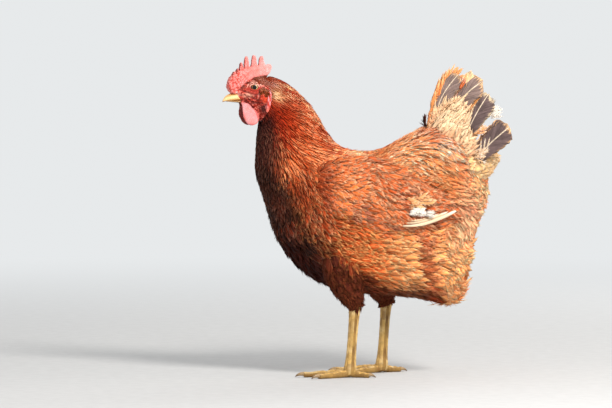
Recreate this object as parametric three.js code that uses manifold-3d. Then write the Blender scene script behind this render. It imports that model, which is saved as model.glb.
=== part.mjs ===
// A standing hen of the brown laying type, life size, in millimetres, +Z up.
// She faces -X with her head turned a little to her left (-Y) and her tail raised.
// The surfaces are those of the plumage, out to the feather tips. The trunk, neck and head are
// lengths of one loft, whose sections fan round from the face, down the neck and along the back.
import * as THREE from "three";
import { mergeVertices } from "three/addons/utils/BufferGeometryUtils.js";
import Module from "manifold-3d";

const wasm = await Module();
wasm.setup();

// ---------------------------------------------------------------- driving dimensions
const GAP = 0.35; // clearance between touching pieces
const TURN = THREE.MathUtils.degToRad(20); // how far the head looks to her left
const TURN_X = -98.8; // the vertical axis that the head turns about
const TURN_START = 12; // section where the neck starts to turn
const TURN_END = 6; // section from which the head is fully turned
const LATERAL = [-1, 1]; // left, right
const SIDE_NAME = { "-1": "left", 1: "right" };

// Sections of head, neck and trunk. back is the dorsal point, front the throat, breast or belly
// point, both [x, z]. half is the half width, and high moves the widest place towards the back.
const SECTIONS = [
  { back: [-173.5, 369.2], front: [-170.7, 357.5], half: 6.0, high: 0.0 }, // bill base
  { back: [-166.6, 375.1], front: [-165.2, 355.6], half: 8.3, high: 0.0 },
  { back: [-159.7, 381.6], front: [-158.3, 353.6], half: 11.2, high: 0.0 },
  { back: [-151.4, 386.1], front: [-151.4, 351.0], half: 13.4, high: 0.1 }, // eyes
  { back: [-141.7, 388.7], front: [-146.0, 346.8], half: 15.0, high: 0.1 },
  { back: [-131.5, 389.2], front: [-142.3, 341.6], half: 16.5, high: 0.0 }, // ears
  { back: [-121.5, 387.4], front: [-140.6, 336.6], half: 18.0, high: 0.0 },
  { back: [-110.1, 382.9], front: [-140.4, 331.8], half: 20.0, high: 0.0 }, // neck
  { back: [-97.6, 375.1], front: [-140.5, 326.3], half: 22.5, high: 0.0 },
  { back: [-84.6, 363.1], front: [-141.7, 317.2], half: 26.0, high: 0.0 },
  { back: [-71.8, 349.2], front: [-142.5, 306.8], half: 30.5, high: 0.0 },
  { back: [-62.4, 334.1], front: [-143.0, 295.1], half: 35.5, high: 0.0 },
  { back: [-52.0, 317.2], front: [-143.7, 282.1], half: 42.0, high: 0.0 },
  { back: [-40.3, 304.2], front: [-143.7, 267.8], half: 49.0, high: -0.05 },
  { back: [-26.0, 295.8], front: [-139.1, 249.6], half: 56.5, high: -0.05 },
  { back: [-11.7, 291.9], front: [-132.0, 227.5], half: 62.0, high: 0.0 }, // shoulders
  { back: [1.3, 291.2], front: [-124.8, 202.8], half: 66.0, high: 0.05 },
  { back: [13.0, 293.2], front: [-114.4, 176.8], half: 68.5, high: 0.1 },
  { back: [24.7, 297.1], front: [-98.8, 153.4], half: 70.0, high: 0.12 },
  { back: [36.4, 303.6], front: [-79.3, 133.9], half: 71.0, high: 0.12 },
  { back: [48.1, 309.7], front: [-54.6, 119.6], half: 71.5, high: 0.1 },
  { back: [59.8, 315.2], front: [-23.4, 110.5], half: 71.5, high: 0.06 }, // saddle
  { back: [71.5, 320.4], front: [13.0, 106.0], half: 70.5, high: 0.0 },
  { back: [83.2, 324.4], front: [50.7, 102.7], half: 67.5, high: -0.05 },
  { back: [97.5, 326.9], front: [92.3, 95.5], half: 62.0, high: -0.1 }, // tail root
  { back: [111.8, 323.1], front: [111.8, 97.5], half: 54.5, high: -0.1 },
  { back: [126.1, 314.6], front: [124.8, 110.5], half: 45.5, high: -0.1 },
  { back: [137.8, 302.9], front: [133.9, 133.9], half: 35.0, high: -0.05 },
  { back: [146.9, 288.6], front: [139.1, 162.5], half: 24.0, high: 0.0 },
  { back: [153.4, 269.1], front: [147.5, 195.0], half: 14.5, high: 0.0 },
  { back: [157.2, 252.0], front: [155.2, 221.0], half: 7.0, high: 0.0 }, // rear of the fluff
];
const NECK_FROM = 7.5; // section where the head ends
const TRUNK_FROM = 13; // section where the neck ends
const BODY_SEGMENTS = 24; // round each section

const STEP = { head: 0.75, neck: 0.65, trunk: 0.85 }; // sections between two rings of the loft
const CUT = 0.02; // share of a section left open between two lengths

const EYE = { x: -151.2, z: 375.2, y: 8.9, r: 6.0 }; // centre and radius of the eyeball
const SOCKET_R = EYE.r + GAP;

// The bill's halves, from the face to the tip: ridge and cutting edge in height, and half width.
const UPPER_BILL = [
  { x: -164.5, ridge: 371.0, edge: 359.0, half: 6.8 },
  { x: -171.5, ridge: 369.0, edge: 358.8, half: 6.3 },
  { x: -178.0, ridge: 367.6, edge: 358.7, half: 5.2 },
  { x: -183.0, ridge: 366.2, edge: 358.5, half: 4.2 },
  { x: -187.0, ridge: 364.0, edge: 358.0, half: 3.2 },
  { x: -190.0, ridge: 360.8, edge: 357.2, half: 2.0 },
  { x: -191.6, ridge: 358.2, edge: 356.2, half: 0.7 },
];
const LOWER_BILL = [
  { x: -164.0, ridge: 353.4, edge: 358.4, half: 5.4 },
  { x: -170.5, ridge: 354.4, edge: 358.3, half: 5.0 },
  { x: -176.5, ridge: 355.2, edge: 358.1, half: 4.0 },
  { x: -182.0, ridge: 356.0, edge: 357.9, half: 2.7 },
  { x: -186.5, ridge: 356.6, edge: 357.6, half: 1.2 },
];

// The comb, a single upright blade along the crown: its outline from the round front, over the
// points, to the rear blade, as [x, z].
const COMB_OUTLINE = [
  [-184.0, 371.5], [-185.6, 376.5], [-184.8, 382.0], [-181.6, 388.0], [-178.4, 392.0],
  [-176.4, 396.6], [-175.2, 396.6], [-173.0, 394.0],
  [-171.8, 402.6], [-170.6, 402.8], [-168.4, 397.6],
  [-167.2, 408.2], [-165.9, 408.4], [-162.8, 401.0],
  [-159.6, 416.6], [-158.0, 416.8], [-153.8, 404.2],
  [-150.0, 418.8], [-148.4, 418.8], [-144.6, 404.6],
  [-139.6, 415.4], [-138.0, 415.0], [-134.6, 403.6],
  [-128.4, 406.0], [-125.2, 403.6], [-126.4, 396.0], [-131.0, 389.0], [-138.0, 384.0],
];
const COMB_ROOT = { front: [-179.0, 366.0], rear: [-170.0, 366.0], crown: [-157.0, 378.0] };
const COMB_THICK = { base: 9.0, edge: 2.4, from: 384.0, to: 412.0 }; // thins between two heights

// Flaps of bare skin. top and bottom are [x, z], half the half width where it is widest, at share
// low of the way down, thick the half thickness, y the distance of the top from the midplane, and
// splay the share of the drop by which the flap stands out.
const WATTLE = {
  ...{ top: [-162.0, 359.0], bottom: [-154.0, 326.8], half: 9.6, low: 0.62 },
  ...{ thick: 1.9, y: 5.6, splay: 0.08 },
};
const EARLOBE = {
  ...{ top: [-132.5, 370.0], bottom: [-136.6, 343.5], half: 4.2, low: 0.45 },
  ...{ thick: 2.3, y: 17.0, splay: 0.1 },
};

// The folded wing from the shoulder to the tip: at is [x, z], tall and thick are half sizes, and
// y is the distance of the middle from the midplane.
const WING = [
  { at: [-80.0, 243.0], tall: 5.0, thick: 3.0, y: 51.0 },
  { at: [-64.0, 247.0], tall: 25.0, thick: 9.0, y: 57.0 },
  { at: [-38.0, 246.0], tall: 38.0, thick: 12.0, y: 62.5 },
  { at: [-6.0, 242.0], tall: 44.0, thick: 13.0, y: 65.5 },
  { at: [28.0, 236.0], tall: 43.0, thick: 13.0, y: 66.0 },
  { at: [60.0, 229.0], tall: 36.0, thick: 12.0, y: 64.0 },
  { at: [86.0, 222.0], tall: 26.0, thick: 10.0, y: 60.0 },
  { at: [106.0, 216.0], tall: 15.0, thick: 7.0, y: 54.5 },
  { at: [121.0, 212.0], tall: 4.0, thick: 2.5, y: 49.0 },
];
const WING_CURL = 0.0045; // how fast the upper part leans in over the back, per mm of height

// Legs: knee, hock and foot as [x, z]. The left leg stands a little ahead.
const LEG = {
  "-1": { knee: [-44.0, 172.0], hock: [-14.5, 94.5], foot: [-21.0, 9.0] },
  1: { knee: [-2.0, 172.0], hock: [27.0, 94.5], foot: [21.0, 9.0] },
};
const HIP_Y = 36.0; // distance of the drumstick's top from the midplane
const FOOT_Y = 41.0; // and of the hock and foot
// Drumstick and shank: share of the way down, how far the middle has moved from hip to foot,
// and half sizes across and fore and aft.
const DRUMSTICK = [
  { t: 0.0, out: 0.0, wide: 24.0, tall: 28.0 },
  { t: 0.3, out: 0.2, wide: 22.0, tall: 26.0 },
  { t: 0.6, out: 0.6, wide: 17.0, tall: 22.0 },
  { t: 0.85, out: 0.9, wide: 12.5, tall: 16.0 },
  { t: 1.02, out: 1.0, wide: 8.6, tall: 9.6 },
];
const SHANK = [
  { t: -0.06, out: 1.0, wide: 5.0, tall: 5.6 },
  { t: 0.0, out: 1.0, wide: 6.9, tall: 8.2 }, // hock
  { t: 0.12, out: 1.0, wide: 6.0, tall: 7.0 },
  { t: 0.3, out: 1.0, wide: 5.2, tall: 6.2 },
  { t: 0.65, out: 1.0, wide: 5.2, tall: 6.0 },
  { t: 0.86, out: 1.0, wide: 6.2, tall: 6.8 },
  { t: 1.0, out: 1.0, wide: 8.6, tall: 8.2 }, // ball of the foot
  { t: 1.08, out: 1.0, wide: 7.6, tall: 6.4 },
];

// Toes: hind, inner, middle and outer. angle is away from dead ahead, outwards; root and tip are
// radii.
const TOES = {
  1: { angle: 158, length: 24.0, root: 4.6, tip: 3.3, claw: 11.0 },
  2: { angle: -36, length: 41.0, root: 5.2, tip: 3.5, claw: 13.0 },
  3: { angle: 0, length: 57.0, root: 5.6, tip: 3.6, claw: 13.0 },
  4: { angle: 34, length: 46.0, root: 5.2, tip: 3.4, claw: 13.0 },
};
const MIDDLE_TOE = "3";
const TOE_START = 3.0; // from the middle of the foot to a toe's root
const KNUCKLES = 3;
const KNUCKLE_SWELL = 1.06; // radius at a knuckle
const PHALANX_WAIST = 0.93; // and between two
const TOE_ARCH = 1.2; // how far a toe's root is lifted
const TOE_SINK = 0.78; // height of a toe's middle in radii, so that its pads are pressed flat
const CLAW_SEAT = 2.0; // how far a claw reaches back into its toe
// The claw along its length: height, half width and half height in radii of the toe's tip.
const CLAW = [
  { t: 0.0, height: 1.15, wide: 0.72, tall: 0.8 },
  { t: 0.4, height: 1.2, wide: 0.56, tall: 0.66 },
  { t: 0.75, height: 0.85, wide: 0.36, tall: 0.42 },
  { t: 1.0, height: 0.26, wide: 0.12, tall: 0.12 },
];

// The tail is a tent: each half is a sheet that leans outwards behind the ridge. Its feathers run
// from the upright ones at the ridge to the low outer ones, with root and tip given as [x, z].
const QUILLS = [
  { root: [84.5, 316.0], tip: [98.0, 392.0], half: 10.0 },
  { root: [88.0, 318.0], tip: [112.5, 399.0], half: 10.5 },
  { root: [96.0, 316.0], tip: [126.5, 394.0], half: 12.0 },
  { root: [103.0, 312.0], tip: [141.5, 388.0], half: 13.0 },
  { root: [109.0, 305.0], tip: [154.5, 375.0], half: 13.5 },
  { root: [115.0, 297.0], tip: [164.0, 358.0], half: 14.0 },
  { root: [120.0, 287.0], tip: [172.0, 340.0], half: 13.5 },
  { root: [126.0, 277.0], tip: [185.0, 317.0], half: 15.0 },
];
const RIDGE = { at: [84.5, 316.0], back: [0.956, -0.293] }; // a point of the ridge, and the way back
const TENT = { inside: 1.6, lean: 0.38 }; // distance from the midplane at the ridge, and per mm back
const QUILL = { tip: 0.75, root: 2.55, narrow: 0.62, widest: 0.6, round: 2.4 };

// Coverts over the lower half of each side of the tail, and the fluff below and behind the rump.
const COVERTS = [
  { at: [100.0, 12.0, 300.0], wide: 16.0, tall: 30.0 },
  { at: [116.0, 15.0, 322.0], wide: 12.0, tall: 28.0 },
  { at: [130.0, 17.5, 342.0], wide: 7.0, tall: 22.0 },
  { at: [141.0, 19.0, 357.0], wide: 3.0, tall: 11.0 },
];
const UNDERTAIL = [
  { at: [118.0, 0.0, 268.0], wide: 34.0, tall: 28.0 },
  { at: [138.0, 0.0, 274.0], wide: 33.0, tall: 27.0 },
  { at: [156.0, 0.0, 280.0], wide: 25.0, tall: 21.0 },
  { at: [170.5, 0.0, 284.0], wide: 10.0, tall: 8.5 },
];

const COLOURS = {
  plumage: { color: 0xa4582c, roughness: 0.8 },
  hackle: { color: 0x8e3a1a, roughness: 0.7 },
  tail: { color: 0x7a5a48, roughness: 0.75 },
  face: { color: 0xb8362c, roughness: 0.55 },
  bill: { color: 0xd9a860, roughness: 0.45 },
  leg: { color: 0xcfa254, roughness: 0.6 },
  claw: { color: 0xb59a72, roughness: 0.45 },
  eye: { color: 0x2a1408, roughness: 0.1 },
};

// ---------------------------------------------------------------- solids
/** A closed geometry as a manifold-3d solid, facing out. */
function toSolid(geometry) {
  const bare = geometry.index ? geometry.toNonIndexed() : geometry.clone();
  bare.deleteAttribute("normal");
  bare.deleteAttribute("uv");
  const merged = mergeVertices(bare, 1e-3);
  const triVerts = new Uint32Array(merged.index.array);
  const vertProperties = new Float32Array(merged.attributes.position.array);
  const solid = new wasm.Manifold(new wasm.Mesh({ numProp: 3, vertProperties, triVerts }));
  if (solid.volume() > 0) return solid;
  for (let i = 0; i < triVerts.length; i += 3) triVerts.subarray(i, i + 2).reverse();
  return new wasm.Manifold(new wasm.Mesh({ numProp: 3, vertProperties, triVerts }));
}

/** A solid as a BufferGeometry. */
function toGeometry(solid) {
  const mesh = solid.getMesh();
  return new THREE.BufferGeometry()
    .setAttribute("position", new THREE.BufferAttribute(new Float32Array(mesh.vertProperties), 3))
    .setIndex(new THREE.BufferAttribute(new Uint32Array(mesh.triVerts), 1));
}

/** A ring of points, made by at(angle) round a full turn. */
function ringOf(segments, at) {
  return Array.from({ length: segments }, (_, j) => at((j / segments) * 2 * Math.PI));
}

/** A closed skin over rings of points, capped at both ends. */
function loft(rings) {
  const n = rings[0].length;
  const points = rings.flat();
  const index = [];
  for (let i = 0; i < rings.length - 1; i++) {
    for (let j = 0; j < n; j++) {
      const [a, b] = [i * n + j, i * n + ((j + 1) % n)];
      index.push(a, b, b + n, a, b + n, a + n);
    }
  }
  const addCap = (ring, base, facesBack) => {
    points.push(ring.reduce((sum, p) => sum.add(p), new THREE.Vector3()).divideScalar(n));
    const centre = points.length - 1;
    for (let j = 0; j < n; j++) {
      const [a, b] = [base + j, base + ((j + 1) % n)];
      index.push(centre, ...(facesBack ? [b, a] : [a, b]));
    }
  };
  addCap(rings[0], 0, true);
  addCap(rings.at(-1), (rings.length - 1) * n, false);
  return toSolid(new THREE.BufferGeometry().setFromPoints(points).setIndex(index));
}

/**
 * A tube of oval sections along stations { at: [x, y, z], wide, tall }, with wide across and tall
 * in the upright plane. Nothing of it goes below the height lowest.
 */
function limb(stations, { segments, steps, grow = 0, lowest = -Infinity }) {
  const centres = new THREE.CatmullRomCurve3(stations.map((s) => new THREE.Vector3(...s.at)));
  const sizes = new THREE.CatmullRomCurve3(
    stations.map((s) => new THREE.Vector3(s.wide, s.tall, 0)),
  );
  const rings = [];
  for (let i = 0; i <= steps; i++) {
    const [middle, size] = [centres.getPoint(i / steps), sizes.getPoint(i / steps)];
    const forward = centres.getTangent(i / steps);
    const across = new THREE.Vector3(-forward.y, forward.x, 0);
    if (across.lengthSq() < 1e-6) across.set(0, 1, 0);
    across.normalize();
    const up = new THREE.Vector3().crossVectors(forward, across).normalize();
    const at = (a) => {
      const p = middle.clone().addScaledVector(across, (size.x + grow) * Math.cos(a));
      p.addScaledVector(up, (size.y + grow) * Math.sin(a));
      return p.setZ(Math.max(p.z, lowest));
    };
    rings.push(ringOf(segments, at));
  }
  return loft(rings);
}

const smoothstep = (t) => THREE.MathUtils.smoothstep(t, 0, 1);

/** A point turned about the neck's upright axis by a share of the head's turn. */
function turned(point, share = 1) {
  const [c, s] = [Math.cos(TURN * share), Math.sin(TURN * share)];
  const x = point.x - TURN_X;
  return new THREE.Vector3(TURN_X + x * c - point.y * s, x * s + point.y * c, point.z);
}

/** A geometry of the head, modelled looking straight ahead, turned with the head. */
function onHead(geometry) {
  return geometry.translate(-TURN_X, 0, 0).rotateZ(TURN).translate(TURN_X, 0, 0);
}

// ---------------------------------------------------------------- body
/** Catmull-Rom through one number of the sections. */
function along(s, pick) {
  const last = SECTIONS.length - 1;
  const i = Math.min(Math.floor(s), last - 1);
  const t = s - i;
  const at = (k) => pick(SECTIONS[THREE.MathUtils.clamp(k, 0, last)]);
  const [a, b, c, d] = [at(i - 1), at(i), at(i + 1), at(i + 2)];
  return b + 0.5 * t * (c - a + t * (2 * a - 5 * b + 4 * c - d + t * (3 * (b - c) + d - a)));
}

/** The point of the plumage at section s and angle a from the back, grown outwards by grow. */
function bodyPoint(s, a, grow) {
  const back = new THREE.Vector2(along(s, (k) => k.back[0]), along(s, (k) => k.back[1]));
  const front = new THREE.Vector2(along(s, (k) => k.front[0]), along(s, (k) => k.front[1]));
  const middle = back.clone().add(front).divideScalar(2);
  const reach = back.clone().sub(middle);
  reach.setLength(reach.length() + grow);
  const [c, n] = [Math.cos(a), Math.sin(a)];
  const y = (along(s, (k) => k.half) + grow) * n * (1 + along(s, (k) => k.high) * c);
  const share = smoothstep((TURN_START - s) / (TURN_START - TURN_END));
  return turned(new THREE.Vector3(middle.x + reach.x * c, y, middle.y + reach.y * c), share);
}

/** The body loft from one section to another, with a ring about every step. */
function bodyLength(from, to, step, grow = 0) {
  const count = Math.round((to - from) / step);
  const rings = [];
  for (let i = 0; i <= count; i++) {
    const s = THREE.MathUtils.lerp(from, to, i / count);
    rings.push(ringOf(BODY_SEGMENTS, (a) => bodyPoint(s, a, grow)));
  }
  return loft(rings);
}

const LAST = SECTIONS.length - 1;
const neck = bodyLength(NECK_FROM + CUT, TRUNK_FROM - CUT, STEP.neck);
const trunk = bodyLength(TRUNK_FROM + CUT, LAST, STEP.trunk);
const trunkGrown = bodyLength(TRUNK_FROM, LAST, STEP.trunk, GAP);
const bodyGrown = bodyLength(0, NECK_FROM, STEP.head, GAP)
  .add(bodyLength(NECK_FROM, TRUNK_FROM, STEP.neck, GAP))
  .add(trunkGrown);

// ---------------------------------------------------------------- head
function eyeball(side, radius) {
  const geometry = new THREE.SphereGeometry(radius, 12, 6);
  geometry.rotateX(Math.PI / 2);
  geometry.translate(EYE.x, side * EYE.y, EYE.z);
  return toSolid(onHead(geometry));
}

/** One half of the bill, wider at its cutting edge than at its ridge. */
function bill(stations, grow = 0) {
  const rings = stations.map(({ x, ridge, edge, half }) => {
    const middle = (ridge + edge) / 2;
    const reach = (ridge - edge) / 2 + Math.sign(ridge - edge) * grow;
    return ringOf(12, (a) => {
      const y = (half + grow) * Math.sin(a) * (1 - 0.25 * Math.cos(a));
      return turned(new THREE.Vector3(x, y, middle + reach * Math.cos(a)));
    });
  });
  return loft(rings);
}

/** The comb's blade, thick at the crown and thin at its points. */
function combBlade() {
  const shape = new THREE.Shape();
  shape.moveTo(...COMB_ROOT.front);
  for (const point of COMB_OUTLINE) shape.lineTo(...point);
  shape.quadraticCurveTo(...COMB_ROOT.crown, ...COMB_ROOT.rear);
  shape.closePath();
  const options = { depth: 1, bevelEnabled: false, curveSegments: 6 };
  const geometry = new THREE.ExtrudeGeometry(shape, options);
  geometry.translate(0, 0, -0.5);
  geometry.rotateX(Math.PI / 2); // the outline's y becomes z
  const at = geometry.attributes.position;
  const { base, edge, from, to } = COMB_THICK;
  for (let i = 0; i < at.count; i++) {
    const rise = smoothstep((at.getZ(i) - from) / (to - from));
    at.setY(i, at.getY(i) * THREE.MathUtils.lerp(base, edge, rise));
  }
  return toSolid(onHead(geometry));
}

/** A wattle or earlobe: a drop-shaped leaf that hangs from its top. */
function hanging({ top, bottom, half, low, thick, y, splay }, side) {
  const steps = 6;
  const rings = [];
  for (let i = 0; i <= steps; i++) {
    const t = i / steps;
    const past = Math.max(0, (t - low) / (1 - low));
    const swell = t < low ? 0.4 + 0.6 * smoothstep(t / low) : Math.sqrt(1.02 - past ** 2);
    const [x, z] = [0, 1].map((k) => THREE.MathUtils.lerp(top[k], bottom[k], t));
    const middleY = y + splay * (top[1] - z);
    const at = (a) => {
      const out = middleY + thick * Math.min(1, swell * 1.3) * Math.sin(a);
      return turned(new THREE.Vector3(x + half * swell * Math.cos(a), side * out, z));
    };
    rings.push(ringOf(8, at));
  }
  return loft(rings);
}

const upperBillGrown = bill(UPPER_BILL, GAP);
const lowerBillGrown = bill(LOWER_BILL, GAP);
const head = bodyLength(0, NECK_FROM - CUT, STEP.head)
  .subtract(eyeball(LATERAL[0], SOCKET_R))
  .subtract(eyeball(LATERAL[1], SOCKET_R))
  .subtract(upperBillGrown)
  .subtract(lowerBillGrown);

// ---------------------------------------------------------------- wings and tail
function wing(side) {
  const curve = (pick) => new THREE.CatmullRomCurve3(WING.map((w) => new THREE.Vector3(...pick(w))));
  const centres = curve((w) => [w.at[0], w.y, w.at[1]]);
  const sizes = curve((w) => [w.tall, w.thick, 0]);
  const steps = 12;
  const rings = [];
  for (let i = 0; i <= steps; i++) {
    const [middle, size] = [centres.getPoint(i / steps), sizes.getPoint(i / steps)];
    const at = (a) => {
      const up = size.x * Math.cos(a);
      const out = size.y * Math.sin(a) - WING_CURL * Math.max(up, 0) ** 2;
      return new THREE.Vector3(middle.x, side * (middle.y + out), middle.z + up);
    };
    rings.push(ringOf(12, at));
  }
  return loft(rings).subtract(bodyGrown);
}

/** How far the middle of the tail's sheet stands from the midplane. */
function tentY(x, z) {
  const behind = (x - RIDGE.at[0]) * RIDGE.back[0] + (z - RIDGE.at[1]) * RIDGE.back[1];
  return TENT.inside + TENT.lean * Math.max(behind, 0);
}

/** One feather in its half's sheet, broadest past its middle, with a round tip. */
function quill({ root, tip, half }, side) {
  const length = Math.hypot(tip[0] - root[0], tip[1] - root[1]);
  const [ux, uz] = [(tip[0] - root[0]) / length, (tip[1] - root[1]) / length];
  const rings = [0, 0.6, 0.82, 0.94, 1].map((t) => {
    const past = Math.max(0, (t - QUILL.widest) / (1 - QUILL.widest));
    const round = Math.sqrt(Math.max(0.03, 1 - past ** QUILL.round));
    const width = half * round * THREE.MathUtils.lerp(QUILL.narrow, 1, Math.min(1, t / QUILL.widest));
    const thick = THREE.MathUtils.lerp(QUILL.root, QUILL.tip, t);
    return ringOf(4, (a) => {
      const x = root[0] + ux * length * t + uz * width * Math.cos(a);
      const z = root[1] + uz * length * t - ux * width * Math.cos(a);
      return new THREE.Vector3(x, side * (tentY(x, z) + thick * Math.sin(a)), z);
    });
  });
  return loft(rings);
}

/** All the space on one side of the midplane, from just off it. */
function sideSpace(side) {
  const size = 1000;
  const box = new THREE.BoxGeometry(size, size, size);
  return toSolid(box.translate(0, (side * (size + GAP)) / 2, 0));
}

function tail(side) {
  const onSide = COVERTS.map((c) => ({ ...c, at: [c.at[0], side * c.at[1], c.at[2]] }));
  let solid = limb(onSide, { segments: 10, steps: 6 });
  for (const feather of QUILLS) solid = solid.add(quill(feather, side));
  return solid.subtract(bodyGrown).subtract(underTail(GAP)).intersect(sideSpace(side));
}

function underTail(grow = 0) {
  return limb(UNDERTAIL, { segments: 14, steps: 6, grow });
}

// ---------------------------------------------------------------- legs
/** Stations down a leg, from the line between two of its joints. */
function legStations(side, table, upper, lower) {
  return table.map(({ t, out, wide, tall }) => {
    const [x, z] = [0, 1].map((k) => THREE.MathUtils.lerp(upper[k], lower[k], t));
    return { at: [x, side * THREE.MathUtils.lerp(HIP_Y, FOOT_Y, out), z], wide, tall };
  });
}
function drumstick(side) {
  const stations = legStations(side, DRUMSTICK, LEG[side].knee, LEG[side].hock);
  return limb(stations, { segments: 12, steps: 7 });
}
function shank(side, grow = 0) {
  const stations = legStations(side, SHANK, LEG[side].hock, LEG[side].foot);
  return limb(stations, { segments: 10, steps: 8, grow, lowest: 0 });
}

/** A point over the floor at a distance from the foot, in the direction of a toe. */
function overFloor(side, angle, distance, height) {
  const a = THREE.MathUtils.degToRad(angle);
  const x = LEG[side].foot[0] - Math.cos(a) * distance;
  return [x, side * (FOOT_Y + Math.sin(a) * distance), height];
}
function toe(side, number, grow = 0) {
  const { angle, length, root, tip } = TOES[number];
  const stations = [];
  const count = 2 * KNUCKLES;
  for (let i = 0; i <= count; i++) {
    const t = i / count;
    const r = THREE.MathUtils.lerp(root, tip, t) * (i % 2 === 0 ? KNUCKLE_SWELL : PHALANX_WAIST);
    const height = r * TOE_SINK + TOE_ARCH * (1 - t) ** 2;
    const at = overFloor(side, angle, TOE_START + length * t, height);
    stations.push({ at, wide: r, tall: r });
  }
  return limb(stations, { segments: 6, steps: 5, grow, lowest: 0 });
}
function claw(side, number, grow = 0) {
  const { angle, length, tip, claw: reach } = TOES[number];
  const start = TOE_START + length - CLAW_SEAT;
  const stations = CLAW.map(({ t, height, wide, tall }) => {
    const at = overFloor(side, angle, start + reach * t, tip * height);
    return { at, wide: tip * wide, tall: tip * tall };
  });
  return limb(stations, { segments: 6, steps: 4, grow, lowest: 0 });
}

// ---------------------------------------------------------------- the hen
const hen = new THREE.Group();
function place(name, solid, look) {
  const material = new THREE.MeshStandardMaterial({ ...COLOURS[look], metalness: 0 });
  const mesh = new THREE.Mesh(toGeometry(solid), material);
  mesh.name = name;
  hen.add(mesh);
}

place("head", head, "hackle");
place("neck", neck, "hackle");
place("trunk", trunk, "plumage");
place("comb", combBlade().subtract(bodyGrown).subtract(upperBillGrown), "face");
place("beak_upper", bill(UPPER_BILL), "bill");
place("beak_lower", bill(LOWER_BILL).subtract(upperBillGrown), "bill");
place("undertail", underTail().subtract(bodyGrown), "plumage");

for (const side of LATERAL) {
  const suffix = SIDE_NAME[side];
  place(`eye_${suffix}`, eyeball(side, EYE.r), "eye");
  place(`wattle_${suffix}`, hanging(WATTLE, side).subtract(bodyGrown).subtract(lowerBillGrown), "face");
  place(`earlobe_${suffix}`, hanging(EARLOBE, side).subtract(bodyGrown), "face");
  place(`wing_${suffix}`, wing(side), "plumage");
  place(`tail_${suffix}`, tail(side), "tail");

  const shankGrown = shank(side, GAP);
  place(`thigh_${suffix}`, drumstick(side).subtract(trunkGrown).subtract(shankGrown), "plumage");
  place(`shank_${suffix}`, shank(side), "leg");
  for (const number of Object.keys(TOES)) {
    let solid = toe(side, number).subtract(shankGrown).subtract(claw(side, number, GAP));
    if (number !== MIDDLE_TOE) solid = solid.subtract(toe(side, MIDDLE_TOE, GAP));
    place(`toe_${suffix}_${number}`, solid, "leg");
    place(`claw_${suffix}_${number}`, claw(side, number), "claw");
  }
}

export default hen;
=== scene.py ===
"""The looks of a standing brown laying hen, life size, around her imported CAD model.

She faces -X with her head turned a little to her left (-Y), and her tail is raised. One closed
skin stands for all the flesh. Over it lie solid vanes: hackles, contour feathers, coverts, fluff
and the tail. Shapes are worked out in millimetres from the same tables as the CAD model.
"""

import math

import bpy
import numpy as np
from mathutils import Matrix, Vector
from mathutils.kdtree import KDTree


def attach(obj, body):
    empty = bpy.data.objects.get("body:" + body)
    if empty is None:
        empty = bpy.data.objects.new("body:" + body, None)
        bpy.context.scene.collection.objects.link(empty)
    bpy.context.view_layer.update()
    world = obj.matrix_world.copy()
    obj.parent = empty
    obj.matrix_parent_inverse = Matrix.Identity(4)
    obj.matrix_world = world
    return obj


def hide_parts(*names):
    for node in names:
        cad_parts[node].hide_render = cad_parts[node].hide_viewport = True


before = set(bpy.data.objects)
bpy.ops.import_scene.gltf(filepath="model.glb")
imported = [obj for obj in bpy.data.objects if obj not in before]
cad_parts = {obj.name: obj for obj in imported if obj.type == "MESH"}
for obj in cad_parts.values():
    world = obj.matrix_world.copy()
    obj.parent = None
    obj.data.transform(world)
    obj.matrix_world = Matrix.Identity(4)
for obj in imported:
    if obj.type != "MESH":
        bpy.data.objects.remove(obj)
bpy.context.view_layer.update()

# ---------------------------------------------------------------- driving dimensions, mm
MM = 0.001
TAU = 2 * math.pi
SIDES = {"left": -1, "right": 1}
TURN = math.radians(20)  # how far the head looks to her left
TURN_X = -98.8  # the vertical axis that the head turns about
TURN_START, TURN_END = 12.0, 6.0  # sections where the turn starts and is complete

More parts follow.
